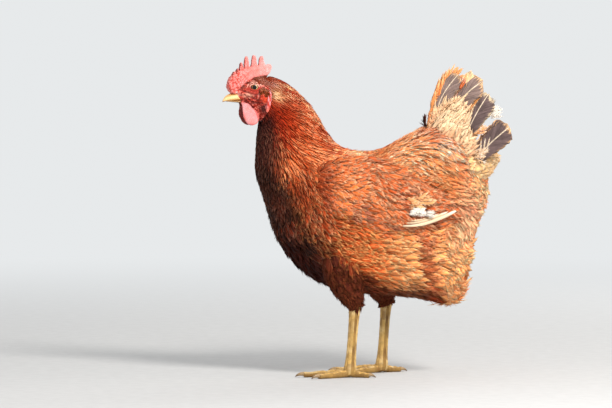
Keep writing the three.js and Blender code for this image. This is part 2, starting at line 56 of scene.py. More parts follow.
# Sections of head, neck and trunk, numbered from the face: the point of the back, the point of
# the throat, breast or belly, the half width, and how far the widest place lies to the back.
SECTIONS = np.array([
    # back x, z, front x, z, half, high
    [-173.5, 369.2, -170.7, 357.5, 6.0, 0.0],
    [-166.6, 375.1, -165.2, 355.6, 8.3, 0.0],
    [-159.7, 381.6, -158.3, 353.6, 11.2, 0.0],
    [-151.4, 386.1, -151.4, 351.0, 13.4, 0.1],
    [-141.7, 388.7, -146.0, 346.8, 15.0, 0.1],
    [-131.5, 389.2, -142.3, 341.6, 16.5, 0.0],
    [-121.5, 387.4, -140.6, 336.6, 18.0, 0.0],
    [-110.1, 382.9, -140.4, 331.8, 20.0, 0.0],
    [-97.6, 375.1, -140.5, 326.3, 22.5, 0.0],
    [-84.6, 363.1, -141.7, 317.2, 26.0, 0.0],
    [-71.8, 349.2, -142.5, 306.8, 30.5, 0.0],
    [-62.4, 334.1, -143.0, 295.1, 35.5, 0.0],
    [-52.0, 317.2, -143.7, 282.1, 42.0, 0.0],
    [-40.3, 304.2, -143.7, 267.8, 49.0, -0.05],
    [-26.0, 295.8, -139.1, 249.6, 56.5, -0.05],
    [-11.7, 291.9, -132.0, 227.5, 62.0, 0.0],
    [1.3, 291.2, -124.8, 202.8, 66.0, 0.05],
    [13.0, 293.2, -114.4, 176.8, 68.5, 0.1],
    [24.7, 297.1, -98.8, 153.4, 70.0, 0.12],
    [36.4, 303.6, -79.3, 133.9, 71.0, 0.12],
    [48.1, 309.7, -54.6, 119.6, 71.5, 0.1],
    [59.8, 315.2, -23.4, 110.5, 71.5, 0.06],
    [71.5, 320.4, 13.0, 106.0, 70.5, 0.0],
    [83.2, 324.4, 50.7, 102.7, 67.5, -0.05],
    [97.5, 326.9, 92.3, 95.5, 62.0, -0.1],
    [111.8, 323.1, 111.8, 97.5, 54.5, -0.1],
    [126.1, 314.6, 124.8, 110.5, 45.5, -0.1],
    [137.8, 302.9, 133.9, 133.9, 35.0, -0.05],
    [146.9, 288.6, 139.1, 162.5, 24.0, 0.0],
    [153.4, 269.1, 147.5, 195.0, 14.5, 0.0],
    [157.2, 252.0, 155.2, 221.0, 7.0, 0.0],
])

EYE = np.array([-151.2, 8.9, 375.2])  # the right eyeball's middle, looking straight ahead
EYE_R = 6.0
PUPIL_R, IRIS_R = 2.8, 3.9
SOCKET_R = 6.12
HEAD_CELL, TRUNK_CELL, LEG_CELL = 0.66, 3.0, 1.0  # how fine the skin's meshes are
LIDS = [(5.45, 0.85, 0.72), (6.9, 0.8, 0.94)]  # rings of skin: radius, half thickness, how oval
# Soft lumps of flesh: middle and half sizes, on the right side and at the middle, straight ahead.
SIDE_LUMPS = [
    ((-148.5, 9.6, 365.5), (8.5, 4.6, 4.6)),  # cheek
    ((-160.5, 6.6, 366.0), (8.0, 3.6, 5.2)),  # before the eye
    ((-140.5, 12.6, 359.5), (6.5, 4.2, 8.5)),  # jaw
    ((-153.0, 9.2, 382.6), (7.5, 3.4, 2.3)),  # brow
    ((-150.0, 5.6, 353.5), (11.0, 3.6, 3.6)),  # gape
]
MIDDLE_LUMPS = [
    ((-171.5, 0.0, 369.5), (8.0, 5.6, 4.6)),  # over the bill's root
    ((-147.5, 0.0, 343.5), (8.5, 6.5, 13.5)),  # throat
]
# Deep creases of the face, straight ahead, as lines through x, z.
CREASES = [
    ((-171.0, 360.0), (-159.0, 356.2), (-150.8, 347.5), (-146.0, 344.5)),
    ((-165.0, 366.5), (-159.5, 360.5), (-155.0, 356.5), (-142.5, 354.5)),
    ((-169.5, 372.5), (-163.0, 369.8), (-157.0, 366.8), (-149.0, 365.8), (-143.0, 368.5)),
    ((-167.0, 379.0), (-160.0, 381.2), (-150.5, 384.4), (-142.0, 382.0)),
    ((-161.5, 363.8), (-152.0, 360.6), (-146.5, 358.4)),
    ((-147.0, 371.5), (-145.5, 363.5), (-147.5, 358.0)),
]
# Patches of the face's colour: middle x, z, half sizes, colour and strength. The near-white one at the
# bill's root is a painted highlight.
FACE_PATCHES = [
    (-134.0, 368.5, 6.0, 3.8, "8a4420", 0.95), (-174.4, 369.3, 1.5, 1.1, "fff2ea", 0.95),
    (-140.0, 359.5, 6.5, 5.0, "e2400c", 0.92), (-165.5, 376.0, 4.2, 3.6, "6e2410", 0.85),
    (-142.5, 377.8, 5.5, 2.6, "ef8f7d", 0.8), (-160.5, 365.0, 6.5, 3.4, "ffb498", 0.95),
    (-146.6, 367.5, 1.6, 5.0, "f4ab98", 0.7), (-139.0, 347.5, 4.8, 7.5, "43100a", 0.95),
    (-151.0, 354.6, 7.0, 1.8, "5c1408", 0.8), (-172.5, 366.5, 3.4, 2.4, "f6b6a4", 0.6),
    (-145.0, 356.8, 4.2, 4.2, "9c2004", 0.9),
]

# The bill's halves, from the face to the tip: x, ridge and cutting edge in height, half width.
UPPER_BILL = np.array([
    [-164.5, 371.0, 358.4, 6.8], [-171.5, 369.0, 357.9, 6.3], [-178.0, 367.6, 357.6, 5.2],
    [-183.0, 366.2, 357.4, 4.2], [-187.0, 364.0, 357.2, 3.2], [-190.0, 360.8, 356.8, 2.0],
    [-191.6, 358.2, 356.2, 0.7],
])
LOWER_BILL = np.array([
    [-164.0, 354.4, 358.6, 5.4], [-170.5, 355.2, 358.4, 5.0], [-176.5, 355.9, 358.2, 4.0],
    [-182.0, 356.5, 358.0, 2.7], [-186.5, 356.9, 357.8, 1.2],
])
# The nostril's slit and the swelling round it: middle x and height, and how far each reaches.
NOSTRIL, SWELLING = (-171.4, 364.9, 1.5, 0.5), (-171.8, 365.2, 2.6, 1.5)
# The comb's outline from the front, over the points, to the rear blade and along the crown.
COMB = np.array([
    [-179.0, 366.0], [-184.0, 371.5], [-185.6, 376.5], [-184.8, 382.0], [-181.6, 388.0],
    [-178.4, 392.0], [-176.8, 395.2], [-175.0, 395.6], [-173.6, 393.4], [-173.0, 398.4],
    [-171.6, 400.4], [-169.9, 399.4], [-169.2, 396.2], [-168.4, 403.4], [-167.2, 407.0],
    [-165.0, 407.2], [-163.6, 402.6], [-162.9, 399.4], [-161.9, 407.0], [-161.5, 413.0],
    [-160.2, 416.0], [-157.6, 416.2], [-156.2, 411.6], [-155.5, 406.0], [-154.2, 401.2],
    [-152.9, 405.6], [-152.2, 412.0], [-151.2, 416.2], [-148.4, 417.2], [-145.9, 416.2],
    [-144.9, 411.0], [-144.5, 406.0], [-143.6, 402.6], [-142.6, 407.0], [-141.9, 412.6],
    [-140.4, 415.9], [-137.3, 416.1], [-135.1, 412.6], [-134.7, 407.8], [-134.0, 403.6],
    [-131.6, 404.4], [-129.2, 405.2], [-127.0, 405.6], [-125.2, 404.0], [-124.2, 400.6],
    [-125.6, 396.6], [-127.2, 393.2], [-131.0, 389.0], [-138.0, 384.0], [-157.0, 378.0],
    [-170.0, 366.0],
])
COMB_CELL = 0.7  # the spacing of the points that it is built from
COMB_BASE, COMB_EDGE = 4.9, 1.5  # half thickness at the crown and at the points
COMB_FROM, COMB_TO = 384.0, 412.0  # it thins between these heights
COMB_ROUND = 2.6  # how far in from the outline its edge is rounded
# Where the comb meets the head, as x and height.
COMB_LINE = [-190, -180, -172, -160, -150, -138, -128, -120], [364, 367, 372, 383, 388, 390, 391, 400]

# Hanging flaps: top and bottom as x, z, half width, where it is widest, half thickness, distance
# of the top from the midplane, how far it stands out on its way down and how far it bows back.
WATTLE = dict(top=(-167.6, 358.5), bottom=(-153.6, 325.8), half=10.9, low=0.62, thick=1.7, y=5.6,
              splay=0.08, bow=3.8)
EARLOBE = dict(top=(-130.6, 371.0), bottom=(-137.2, 342.5), half=3.3, low=0.45, thick=1.9,
               y=15.9, splay=0.1, bow=0.8)

# The folded wing from the shoulder to the tip: middle x, z, half height, half thickness, distance
# of the middle from the midplane. WING_CURL leans the upper part in over the back.
WING = np.array([
    [-80.0, 243.0, 5.0, 3.0, 51.0], [-64.0, 247.0, 25.0, 9.0, 57.0],
    [-38.0, 246.0, 38.0, 12.0, 62.5], [-6.0, 242.0, 44.0, 13.0, 65.5],
    [28.0, 236.0, 43.0, 13.0, 66.0], [60.0, 229.0, 36.0, 12.0, 64.0],
    [86.0, 222.0, 26.0, 10.0, 60.0], [106.0, 216.0, 15.0, 7.0, 54.5],
    [121.0, 212.0, 4.0, 2.5, 49.0],
])
WING_CURL = 0.0045

# Legs: knee, hock and foot as x, z, with the left one a little ahead.
LEG = {
    -1: dict(knee=(-44.0, 172.0), hock=(-14.5, 94.5), foot=(-21.0, 9.0)),
    1: dict(knee=(-2.0, 172.0), hock=(27.0, 94.5), foot=(21.0, 9.0)),
}
HIP_Y, FOOT_Y = 36.0, 41.0
# Share of the way down, share of the way out from hip to foot, half sizes across and fore-aft.
DRUMSTICK = [(0.0, 0.0, 24.0, 28.0), (0.3, 0.2, 22.0, 26.0), (0.6, 0.6, 17.0, 22.0),
             (0.85, 0.9, 12.5, 16.0), (1.02, 1.0, 8.6, 9.6)]
SHANK = [(-0.06, 1.0, 5.0, 5.6), (0.0, 1.0, 6.9, 8.2), (0.12, 1.0, 6.0, 7.0), (0.3, 1.0, 5.2, 6.2),
         (0.65, 1.0, 5.2, 6.0), (0.86, 1.0, 6.2, 6.8), (1.0, 1.0, 8.6, 8.2), (1.08, 1.0, 7.6, 6.4)]
# Rings of plates down the shank: how many, where they start and how far they reach, in its stations.
# Then each ring's plates: how far on, angle from the front, half its angle and thickness.
SHANK_BANDS, SHANK_FROM, SHANK_SPAN = 15, 0.9, 5.6
SHANK_PLATES = [(0.0, -0.42, 0.5, 0.55), (0.18, 0.56, 0.46, 0.5), (0.1, 1.42, 0.36, 0.35),
                (0.1, -1.34, 0.36, 0.35), (0.0, math.pi - 0.4, 0.4, 0.4), (0.15, math.pi + 0.42, 0.4, 0.4)]
TOE_PLATE = 2.9  # the length of a plate on a toe
OVERLAP = 1.25  # the length of a plate, in distances from one plate to the next
# Toes: angle from dead ahead outwards, length, radius at root and tip, length of the claw.
TOES = {1: (158, 24.0, 4.6, 3.3, 11.0), 2: (-36, 41.0, 5.2, 3.5, 13.0),
        3: (0, 57.0, 5.6, 3.6, 13.0), 4: (34, 46.0, 5.2, 3.4, 13.0)}
KNUCKLES = 3
# How far out the toes start, how high they lie in radii, how high their roots arch, and how far
# the claws are set into the toes.
TOE_START, TOE_SINK, TOE_ARCH, CLAW_SEAT = 3.0, 0.78, 1.2, 2.0
# The flesh between the toes' roots: angle and distance of its middle, and half sizes.
WEBS = [(-18, 6.05), (17, 6.6)]
WEB_SIZE = (9.0, 6.5, 3.4)
# A claw along its length: height, half width and half height in radii of the toe's tip.
CLAW = [(0.0, 1.15, 0.72, 0.8), (0.4, 1.2, 0.56, 0.66), (0.75, 0.85, 0.36, 0.42),
        (1.0, 0.26, 0.12, 0.12)]

# Tail feathers of one side, from the upright ones at the ridge to the low outer ones.
QUILLS = [
    dict(root=(84.5, 316.0), tip=(98.0, 392.0), half=10.0),
    dict(root=(88.0, 318.0), tip=(112.5, 399.0), half=10.5),
    dict(root=(96.0, 316.0), tip=(126.5, 394.0), half=12.0),
    dict(root=(103.0, 312.0), tip=(141.5, 388.0), half=13.0),
    dict(root=(109.0, 305.0), tip=(154.5, 375.0), half=13.5),
    dict(root=(115.0, 297.0), tip=(164.0, 358.0), half=14.0),
    dict(root=(120.0, 287.0), tip=(172.0, 340.0), half=13.5),
    dict(root=(126.0, 277.0), tip=(185.0, 317.0), half=15.0),
]
RIDGE, RIDGE_BACK = (84.5, 316.0), (0.956, -0.293)  # a point of the ridge, and the way back
TENT_INSIDE, TENT_LEAN = 1.6, 0.38  # how far out its halves lie at the ridge, and lean behind it
# The fluff below and behind the rump: middle, half sizes across and in height.
UNDERTAIL = [((118.0, 0.0, 268.0), 34.0, 28.0), ((138.0, 0.0, 274.0), 33.0, 27.0),
             ((156.0, 0.0, 280.0), 25.0, 21.0), ((170.5, 0.0, 284.0), 10.0, 8.5)]
# The soft mass of feathers at each side of the tail, in the same way.
COVERTS = [((100.0, 12.0, 300.0), 16.0, 30.0), ((116.0, 15.0, 322.0), 12.0, 28.0),
           ((130.0, 17.5, 342.0), 7.0, 22.0), ((141.0, 19.0, 357.0), 3.0, 11.0)]


# ---------------------------------------------------------------- small tools
def smooth(x, low=0.0, high=1.0):
    """A smooth step from 0 at low to 1 at high, which may be below low."""
    t = np.clip((np.asarray(x, float) - low) / (high - low), 0, 1)
    return t * t * (3 - 2 * t)


def bump_at(x, middle, spread):
    """1 at the middle, and near 0 beyond twice the spread."""
    return np.exp(-(((np.asarray(x, float) - middle) / spread) ** 2))


def unit(v):
    """Directions of length 1."""
    return v / np.maximum(np.linalg.norm(v, axis=-1, keepdims=True), 1e-9)


def lerp(a, b, t):
    """Between two numbers."""
    return a + (b - a) * t


def mix(a, b, t):
    """Between two colours or directions, by a share for each point."""
    return a + (b - a) * np.asarray(t, float)[..., None]


def rgb(code):
    """A colour written as on a screen, as the linear numbers that a shader takes."""
    v = np.array([int(code[i:i + 2], 16) / 255 for i in (0, 2, 4)])
    return np.where(v <= 0.04045, v / 12.92, ((v + 0.055) / 1.055) ** 2.4)


def spline(table, s):
    """Catmull-Rom through the rows of a table, at s rows from its start."""
    table = np.asarray(table, float)
    last = len(table) - 1
    s = np.asarray(s, float)
    i = np.clip(np.floor(s).astype(int), 0, last - 1)
    t = (s - i)[..., None]
    a, b, c, d = (table[np.clip(i + k, 0, last)] for k in (-1, 0, 1, 2))
    return b + 0.5 * t * (c - a + t * (2 * a - 5 * b + 4 * c - d + t * (3 * (b - c) + d - a)))


def turned(p, share=1.0):
    """Points turned about the neck's upright axis by a share of the head's turn."""
    c, s = np.cos(TURN * share), np.sin(TURN * share)
    x = p[..., 0] - TURN_X
    return np.stack([TURN_X + x * c - p[..., 1] * s, x * s + p[..., 1] * c, p[..., 2]], -1)


def straight(p):
    """Points of the turned head as if she looked straight ahead."""
    return turned(p, -1.0)


def straight_way(v):
    """Directions on the turned head as if she looked straight ahead."""
    return straight(v + np.array([TURN_X, 0.0, 0.0])) - np.array([TURN_X, 0.0, 0.0])


def lattice(ix, iy, iz, seed):
    """A repeatable random number from 0 to 1 at each corner of a grid."""
    h = ix * 73856093 ^ iy * 19349663 ^ iz * 83492791 ^ (seed * 2654435761 & 0x7FFFFFFF)
    h = (h ^ (h >> 13)) * 1274126177 & 0xFFFFFFFF
    return ((h ^ (h >> 16)) & 0xFFFF) / 65535.0


def noise(p, size, seed=0):
    """Soft lumps of about that size in mm, from -1 to 1."""
    q = np.asarray(p, float) / size
    base = np.floor(q).astype(np.int64)
    f = q - base
    f = f * f * (3 - 2 * f)
    total = 0
    for dx in (0, 1):
        for dy in (0, 1):
            for dz in (0, 1):
                w = ((f[..., 0] if dx else 1 - f[..., 0]) * (f[..., 1] if dy else 1 - f[..., 1])
                     * (f[..., 2] if dz else 1 - f[..., 2]))
                total = total + w * lattice(base[..., 0] + dx, base[..., 1] + dy, base[..., 2] + dz, seed)
    return 2 * total - 1


def from_line(x, z, start, end):
    """How far points lie from a straight line between two points, seen from the side."""
    (x0, z0), (x1, z1) = start, end
    ex, ez = x1 - x0, z1 - z0
    t = np.clip(((x - x0) * ex + (z - z0) * ez) / (ex * ex + ez * ez), 0, 1)
    return np.hypot(x - x0 - t * ex, z - z0 - t * ez)


def pebbles(p, size, seed=0):
    """1 in the middle of each random cell of that size, and 0 between two."""
    q = np.asarray(p, float) / size
    base = np.floor(q).astype(np.int64)
    nearest = np.full(q.shape[:-1], 9.0)
    for dx in (-1, 0, 1):
        for dy in (-1, 0, 1):
            for dz in (-1, 0, 1):
                c = base + np.array([dx, dy, dz])
                shift = np.stack([lattice(c[..., 0], c[..., 1], c[..., 2], seed + k) for k in range(3)], -1)
                nearest = np.minimum(nearest, np.linalg.norm(c + shift - q, axis=-1))
    return np.clip(1 - nearest * 1.35, 0, 1)


# ---------------------------------------------------------------- meshes
NO_TRIS = np.zeros((0, 3), int)


def around(columns):
    """Evenly spread angles of a closed ring."""
    return np.arange(columns) / columns * TAU


def grid_faces(rows, columns, closed):
    """Quads over a grid of points, with the columns closed to a ring or open."""
    i, j = np.meshgrid(np.arange(rows - 1), np.arange(columns if closed else columns - 1), indexing="ij")
    a = i * columns + j
    b = i * columns + (j + 1) % columns
    return np.stack([a, b, b + columns, a + columns], -1).reshape(-1, 4)


def fan(first, count, flip=False):
    """Triangles that close a ring of points."""
    k = np.arange(1, count - 1)
    t = np.stack([np.full_like(k, first), first + k, first + k + 1], -1)
    return t[:, ::-1] if flip else t


def loft(rings):
    """A closed solid over rings of points, an array of rows by columns by 3."""
    rows, columns, _ = rings.shape
    quads = grid_faces(rows, columns, True)
    tris = np.concatenate([fan(0, columns, True), fan((rows - 1) * columns, columns)])
    return rings.reshape(-1, 3), quads, tris


def sheet_solid(front, back, quads):
    """A closed solid between two sheets of points that have the same quads, with walls round the rim."""
    n = len(front)
    edges = np.concatenate([quads[:, [k, (k + 1) % 4]] for k in range(4)])
    key, reverse = edges[:, 0] * n + edges[:, 1], edges[:, 1] * n + edges[:, 0]
    rim = edges[~np.isin(key, reverse)]
    walls = np.stack([rim[:, 1], rim[:, 0], rim[:, 0] + n, rim[:, 1] + n], -1)
    return np.concatenate([front, back]), np.concatenate([quads, quads[:, ::-1] + n, walls]), NO_TRIS


def ball(rows, columns, gap):
    """Rings of points on a ball of radius 1, which start and end a small gap from the poles."""
    t = np.linspace(gap, math.pi - gap, rows)[:, None]
    a = around(columns)
    return np.stack([np.sin(t) * np.cos(a), np.sin(t) * np.sin(a), np.cos(t) + 0 * a], -1)


def facing_out(points, quads, tris):
    """The same closed solid with all its faces out."""
    faces = np.concatenate([quads[:, [0, 1, 2]], quads[:, [0, 2, 3]], tris])
    a, b, c = (points[faces[:, k]] for k in range(3))
    if np.sum(a * np.cross(b, c)) < 0:
        return points, quads[:, ::-1], tris[:, ::-1]
    return points, quads, tris


def joined(solids):
    """Several solids as one set of points, quads and triangles."""
    points, quads, tris, base = [], [], [], 0
    for p, q, t in solids:
        points.append(p)
        quads.append(q + base)
        tris.append(t + base)
        base += len(p)
    return np.concatenate(points), np.concatenate(quads), np.concatenate(tris)


def mesh_of(name, points, quads, tris):
    """A mesh datablock, in metres, from points in mm."""
    me = bpy.data.meshes.new(name)
    loops = np.concatenate([np.ravel(quads), np.ravel(tris)]).astype(np.int32)
    sizes = np.concatenate([np.full(len(quads), 4), np.full(len(tris), 3)]).astype(np.int32)
    me.vertices.add(len(points))
    me.vertices.foreach_set("co", (np.asarray(points) * MM).astype(np.float32).ravel())
    me.loops.add(len(loops))
    me.loops.foreach_set("vertex_index", loops)
    me.polygons.add(len(sizes))
    me.polygons.foreach_set("loop_start", (np.cumsum(sizes) - sizes).astype(np.int32))
    me.update(calc_edges=True)
    return me


def new_object(name, me, material=None):
    """A mesh in the scene as an object, with its material."""
    ob = bpy.data.objects.new(name, me)
    bpy.context.scene.collection.objects.link(ob)
    if material:
        me.materials.append(material)
    return ob


def points_of(me):
    """A mesh's points, in mm."""
    co = np.empty(len(me.vertices) * 3, np.float32)
    me.vertices.foreach_get("co", co)
    return co.reshape(-1, 3).astype(float) / MM


def normals_of(me):
    n = np.empty(len(me.vertices) * 3, np.float32)
    me.vertices.foreach_get("normal", n)
    return n.reshape(-1, 3).astype(float)


def smooth_faces(me):
    me.polygons.foreach_set("use_smooth", np.ones(len(me.polygons), bool))


def move_points(me, points):
    """Gives a mesh new places for its points, in mm."""
    me.vertices.foreach_set("co", (points * MM).astype(np.float32).ravel())
    me.update()


def with_alpha(colour, alpha):
    """Colours with a fourth number each."""
    shape = np.broadcast_shapes(colour.shape[:-1], np.shape(alpha))
    alpha = np.broadcast_to(alpha, shape)[..., None]
    return np.concatenate([np.broadcast_to(colour, (*shape, 3)), alpha], -1)


def set_colour(me, name, values):
    """A colour with alpha for each point."""
    layer = me.attributes.new(name, "FLOAT_COLOR", "POINT")
    layer.data.foreach_set("color", np.asarray(values, np.float32).ravel())


def coloured(name, solid, tint, material):
    """A smooth object from a closed solid, with a colour for each of its points."""
    me = mesh_of(name, *solid)
    smooth_faces(me)
    set_colour(me, "tint", with_alpha(tint, 1.0))
    return new_object(name, me, material)


def set_map(me, name, values):
    """A UV map from one pair for each point."""
    index = np.empty(len(me.loops), np.int32)
    me.loops.foreach_get("vertex_index", index)
    layer = me.uv_layers.new(name=name)
    layer.data.foreach_set("uv", np.asarray(values, np.float32)[index].ravel())


def applied(ob, *modifiers):
    """The object's mesh with modifiers applied, each given as its type and settings."""
    for kind, settings in modifiers:
        m = ob.modifiers.new(kind.lower(), kind)
        for key, value in settings.items():
            setattr(m, key, value)
    graph = bpy.context.evaluated_depsgraph_get()
    me = bpy.data.meshes.new_from_object(ob.evaluated_get(graph), depsgraph=graph)
    ob.modifiers.clear()
    ob.data = me
    return me


def relaxed(me, rounds, share=0.5):
    """Evens out a mesh by moving each point towards its neighbours."""
    edges = np.empty(len(me.edges) * 2, np.int32)
    me.edges.foreach_get("vertices", edges)
    a, b = edges.reshape(-1, 2).T
    p = points_of(me)
    count = np.bincount(a, minlength=len(p)) + np.bincount(b, minlength=len(p))
    for _ in range(rounds):
        mean = np.stack([np.bincount(a, p[b, k], len(p)) + np.bincount(b, p[a, k], len(p))
                         for k in range(3)], -1) / np.maximum(count, 1)[:, None]
        p = p + share * (mean - p)
    move_points(me, p)


# ---------------------------------------------------------------- surfaces of the bird
def body(s, a, depth=0.0):
    """The plumage's outer surface at section s and angle a from the back, or depth mm below it."""
    s, a = np.broadcast_arrays(np.asarray(s, float), np.asarray(a, float))
    row = spline(SECTIONS, s)
    middle = (row[..., 0:2] + row[..., 2:4]) / 2
    reach = row[..., 0:2] - middle
    size = np.linalg.norm(reach, axis=-1)
    reach = reach * (np.maximum(size - depth, 0.25 * size) / size)[..., None]
    half = np.maximum(row[..., 4] - depth, 0.25 * row[..., 4])
    y = half * np.sin(a) * (1 + row[..., 5] * np.cos(a))
    c = np.cos(a)
    p = np.stack([middle[..., 0] + reach[..., 0] * c, y, middle[..., 1] + reach[..., 1] * c], -1)
    return turned(p, smooth((TURN_START - s) / (TURN_START - TURN_END)))


def wing(side):
    """A wing's outer surface, by its station and the angle from its upper edge."""
    def surface(w, a, depth=0.0):
        x, z, tall, thick, y = np.moveaxis(spline(WING, w), -1, 0)
        tall, thick = np.maximum(tall - depth, 0.3 * tall), np.maximum(thick - depth, 0.3 * thick)
        up = tall * np.cos(a)
        out = thick * np.sin(a) - WING_CURL * np.maximum(up, 0) ** 2
        return np.stack([x, side * (y + out), z + up], -1)
    return surface


def limb(stations):
    """A tube of oval sections along stations of middle, half width and half height."""
    table = np.array([[*at, wide, tall] for at, wide, tall in stations])

    def surface(u, a, depth=0.0):
        row = spline(table, u)
        ahead = unit(spline(table, u + 0.01)[..., :3] - spline(table, u - 0.01)[..., :3])
        across = np.stack([-ahead[..., 1], ahead[..., 0], 0 * ahead[..., 0]], -1)
        flat = np.linalg.norm(across, axis=-1, keepdims=True) < 1e-3
        across = unit(np.where(flat, np.array([0.0, 1.0, 0.0]), across))
        up = unit(np.cross(ahead, across))
        wide = np.maximum(row[..., 3] - depth, 0.3 * row[..., 3])[..., None]
        tall = np.maximum(row[..., 4] - depth, 0.3 * row[..., 4])[..., None]
        a = np.asarray(a, float)[..., None]
        return row[..., :3] + across * wide * np.cos(a) + up * tall * np.sin(a)
    return surface


def leg_stations(side, table, upper, lower):
    """Stations of a straight piece of the leg from one joint to the next, for limb."""
    upper, lower = np.array(upper), np.array(lower)
    stations = []
    for t, out, wide, tall in table:
        x, z = upper + (lower - upper) * t
        stations.append(((x, side * (HIP_Y + (FOOT_Y - HIP_Y) * out), z), wide, tall))
    return stations


def feathered_thigh(side):
    """The thigh with its top drawn in under the flank's feathers."""
    table = [(t, out, wide - drawn, tall - drawn)
             for (t, out, wide, tall), drawn in zip(DRUMSTICK, (9.0, 3.0, 0.0, 0.0, 0.0))]
    return limb(leg_stations(side, table, LEG[side]["knee"], LEG[side]["hock"]))


def shank(side):
    return limb(leg_stations(side, SHANK, LEG[side]["hock"], LEG[side]["foot"]))


def over_floor(side, angle, distance, height):
    """A point round the foot, at an angle from dead ahead outwards."""
    a = math.radians(angle)
    foot = LEG[side]["foot"][0]
    return (foot - math.cos(a) * distance, side * (FOOT_Y + math.sin(a) * distance), height)


def toe(side, number):
    """A toe, thicker at the joints and slimmer between them."""
    angle, length, root, tip, _ = TOES[number]
    stations = []
    for i in range(2 * KNUCKLES + 1):
        t = i / (2 * KNUCKLES)
        r = (root + (tip - root) * t) * (1.06 if i % 2 == 0 else 0.93)
        at = over_floor(side, angle, TOE_START + length * t, r * TOE_SINK + TOE_ARCH * (1 - t) ** 2)
        stations.append((at, r, r))
    return limb(stations)


def claw(side, number):
    """The claw that carries on from the tip of a toe."""
    angle, length, _, tip, reach = TOES[number]
    start = TOE_START + length - CLAW_SEAT
    return limb([(over_floor(side, angle, start + reach * t, tip * height), tip * wide, tip * tall)
                 for t, height, wide, tall in CLAW])


def tent(side, x, z, lift=0.0):
    """A point of one half of the tail's sheet, lifted outwards."""
    behind = (x - RIDGE[0]) * RIDGE_BACK[0] + (z - RIDGE[1]) * RIDGE_BACK[1]
    return np.stack([x, side * (TENT_INSIDE + TENT_LEAN * np.maximum(behind, 0) + lift), z], -1)


def tail_side(side):
    """The tail's sheet as a surface: from 0 to 1 up the feathers, and from the ridge backwards."""
    roots = np.array([q["root"] for q in QUILLS])
    tips = np.array([q["tip"] for q in QUILLS])

    def surface(u, v, depth=0.0):
        low, high = spline(roots, v), spline(tips, v)
        at = low + (high - low) * np.asarray(u, float)[..., None]
        return tent(side, at[..., 0], at[..., 1], -depth)
    return surface


def covert_cushion(side):
    """The soft mass of feathers at the tail's side."""
    return limb([((x, side * y, z), wide, tall) for (x, y, z), wide, tall in COVERTS])


def tube(surface, first, last, rows, columns, depth=0.0):
    """Rings of points on a surface, from its station first to its station last."""
    u, a = np.meshgrid(np.linspace(first, last, rows), around(columns), indexing="ij")
    return surface(u, a, depth)


def above_floor(points, height=0.0):
    """Points with none below a height."""
    return np.concatenate([points[..., :2], np.maximum(points[..., 2:], height)], -1)


# ---------------------------------------------------------------- the coat's depth and colours
def coat_depth(s, a):
    """How far the skin lies below the feather tips."""
    front = smooth(np.abs(a), 1.7, 2.4)
    depth = np.interp(s, [3.2, 4.5, 7, 9, 12, 15, 20, 26, 30], [0, 1.2, 2.2, 4.0, 6.5, 8.5, 9.5, 11, 9])
    bare = (1 - smooth(s, 6.0, 8.0)) * smooth(np.abs(a), 0.55, 0.95)
    return depth * (1 - 0.15 * front) * (1 - bare)


PALETTE = {name: rgb(code) for name, code in dict(
    # feathers
    black="1c0905", maroon="43140c", blood="961a06", russet="a23812", rust="bf4b1e", copper="d4622c",
    orange="e47d3d", tawny="e89a5a", apricot="f5ab6c", sand="f9c690", cream="fbdfb6", white="fdf3e6",
    slate="8a756e", slate_dark="6a5856", umber="5f2411", smoke="7c4a3e", dusk="b97c66", mauve="c98a80",
    peach="f0b592",
    # flesh, lids and feet
    deep="6c1006", dark="2a0a06", red="bd2f1c", lid="b8402c", rose="e4705e", pink="ea8782", blush="f09c9e",
    pale="f6b2ae", light="ffc4ae", yellow="b08a4c", olive="74542e",
    # eyes, bill, claws and scales
    amber="c9822c", amber_rim="7c3a10", amber_light="f0d09a", socket="2c1005", pupil="060403",
    horn="d08c40", ivory="f3d193", lower_horn="8c5a30", lower_ivory="c99a5e", horn_brown="9a5520",
    nostril="4a200e", claw_root="a88a62", claw_tip="5f4630", scale="d2a95f", scale_brown="a5804a",
    scale_light="e6cc96",
    # a feather's shaft and the tips of papillae
    shaft="f2dcc0", papilla="f6b3a6",
).items()}


# Small areas of the coat, seen from the side: the middle's x and z, and how far each reaches.
SPOTS = dict(
    behind_ear=(-127.0, 366.0, 5.0, 6.5),
    # the neck's copper side, made lighter as a painted highlight
    copper_glint_neck=(-86.0, 333.0, 24.0, 26.0),
    dim_neck=(-90.0, 288.0, 24.0, 20.0),
    shoulder=(-91.0, 259.0, 15.0, 22.0),  # the hollow where the neck meets the wing, painted darker as painted shade
    # painted shade before the wing
    shade_before_wing=(-42.0, 262.0, 8.0, 7.0),
    under_wing=(15.0, 238.0, 55.0, 32.0),
    before_tail=(84.0, 310.0, 18.0, 9.0),
    below_tail=(118.0, 298.0, 9.0, 9.0),
    below_saddle=(86.0, 267.0, 22.0, 14.0),
    light_rump=(118.0, 270.0, 22.0, 27.0),
    # on the wing: lighter areas, smoky ones and a gap between the coverts painted dark as painted shade
    light_shoulder=(-52.0, 236.0, 18.0, 22.0),
    light_edge=(-20.0, 212.0, 24.0, 16.0),
    smoky_edge=(-26.0, 219.0, 14.0, 10.0),
    smoky_corner=(8.0, 203.0, 9.0, 5.0),
    shaded_wing_gap=(30.0, 206.0, 9.0, 6.0),
)
# The flank's lower edge, as x and height, below which the coat is dark: painted shade.
FLANK_EDGE = ([-110, -80, -53, -38, -11, 14, 70, 90],
              [196, 167, 152, 146, 130, 123, 119, 100])


def spot(p, name):
    """1 in the middle of a small area, fading to 0 outside it."""
    x, z, reach_x, reach_z = SPOTS[name]
    return bump_at(p[..., 0], x, reach_x) * bump_at(p[..., 2], z, reach_z)


def neck_drop(p):
    """How steeply the hackles drop, in degrees: level behind the ear, steeper lower and in front."""
    x, z = p[..., 0], p[..., 2]
    drop = np.interp(z, [250, 295, 310, 330, 345, 367, 378], [64, 60, 46, 27, 13, 4, 14])
    return drop + 1.1 * np.clip(-100 - x, 0, 25) - 0.45 * np.clip(x + 100, 0, 45) * smooth(z, 320.0, 300.0)


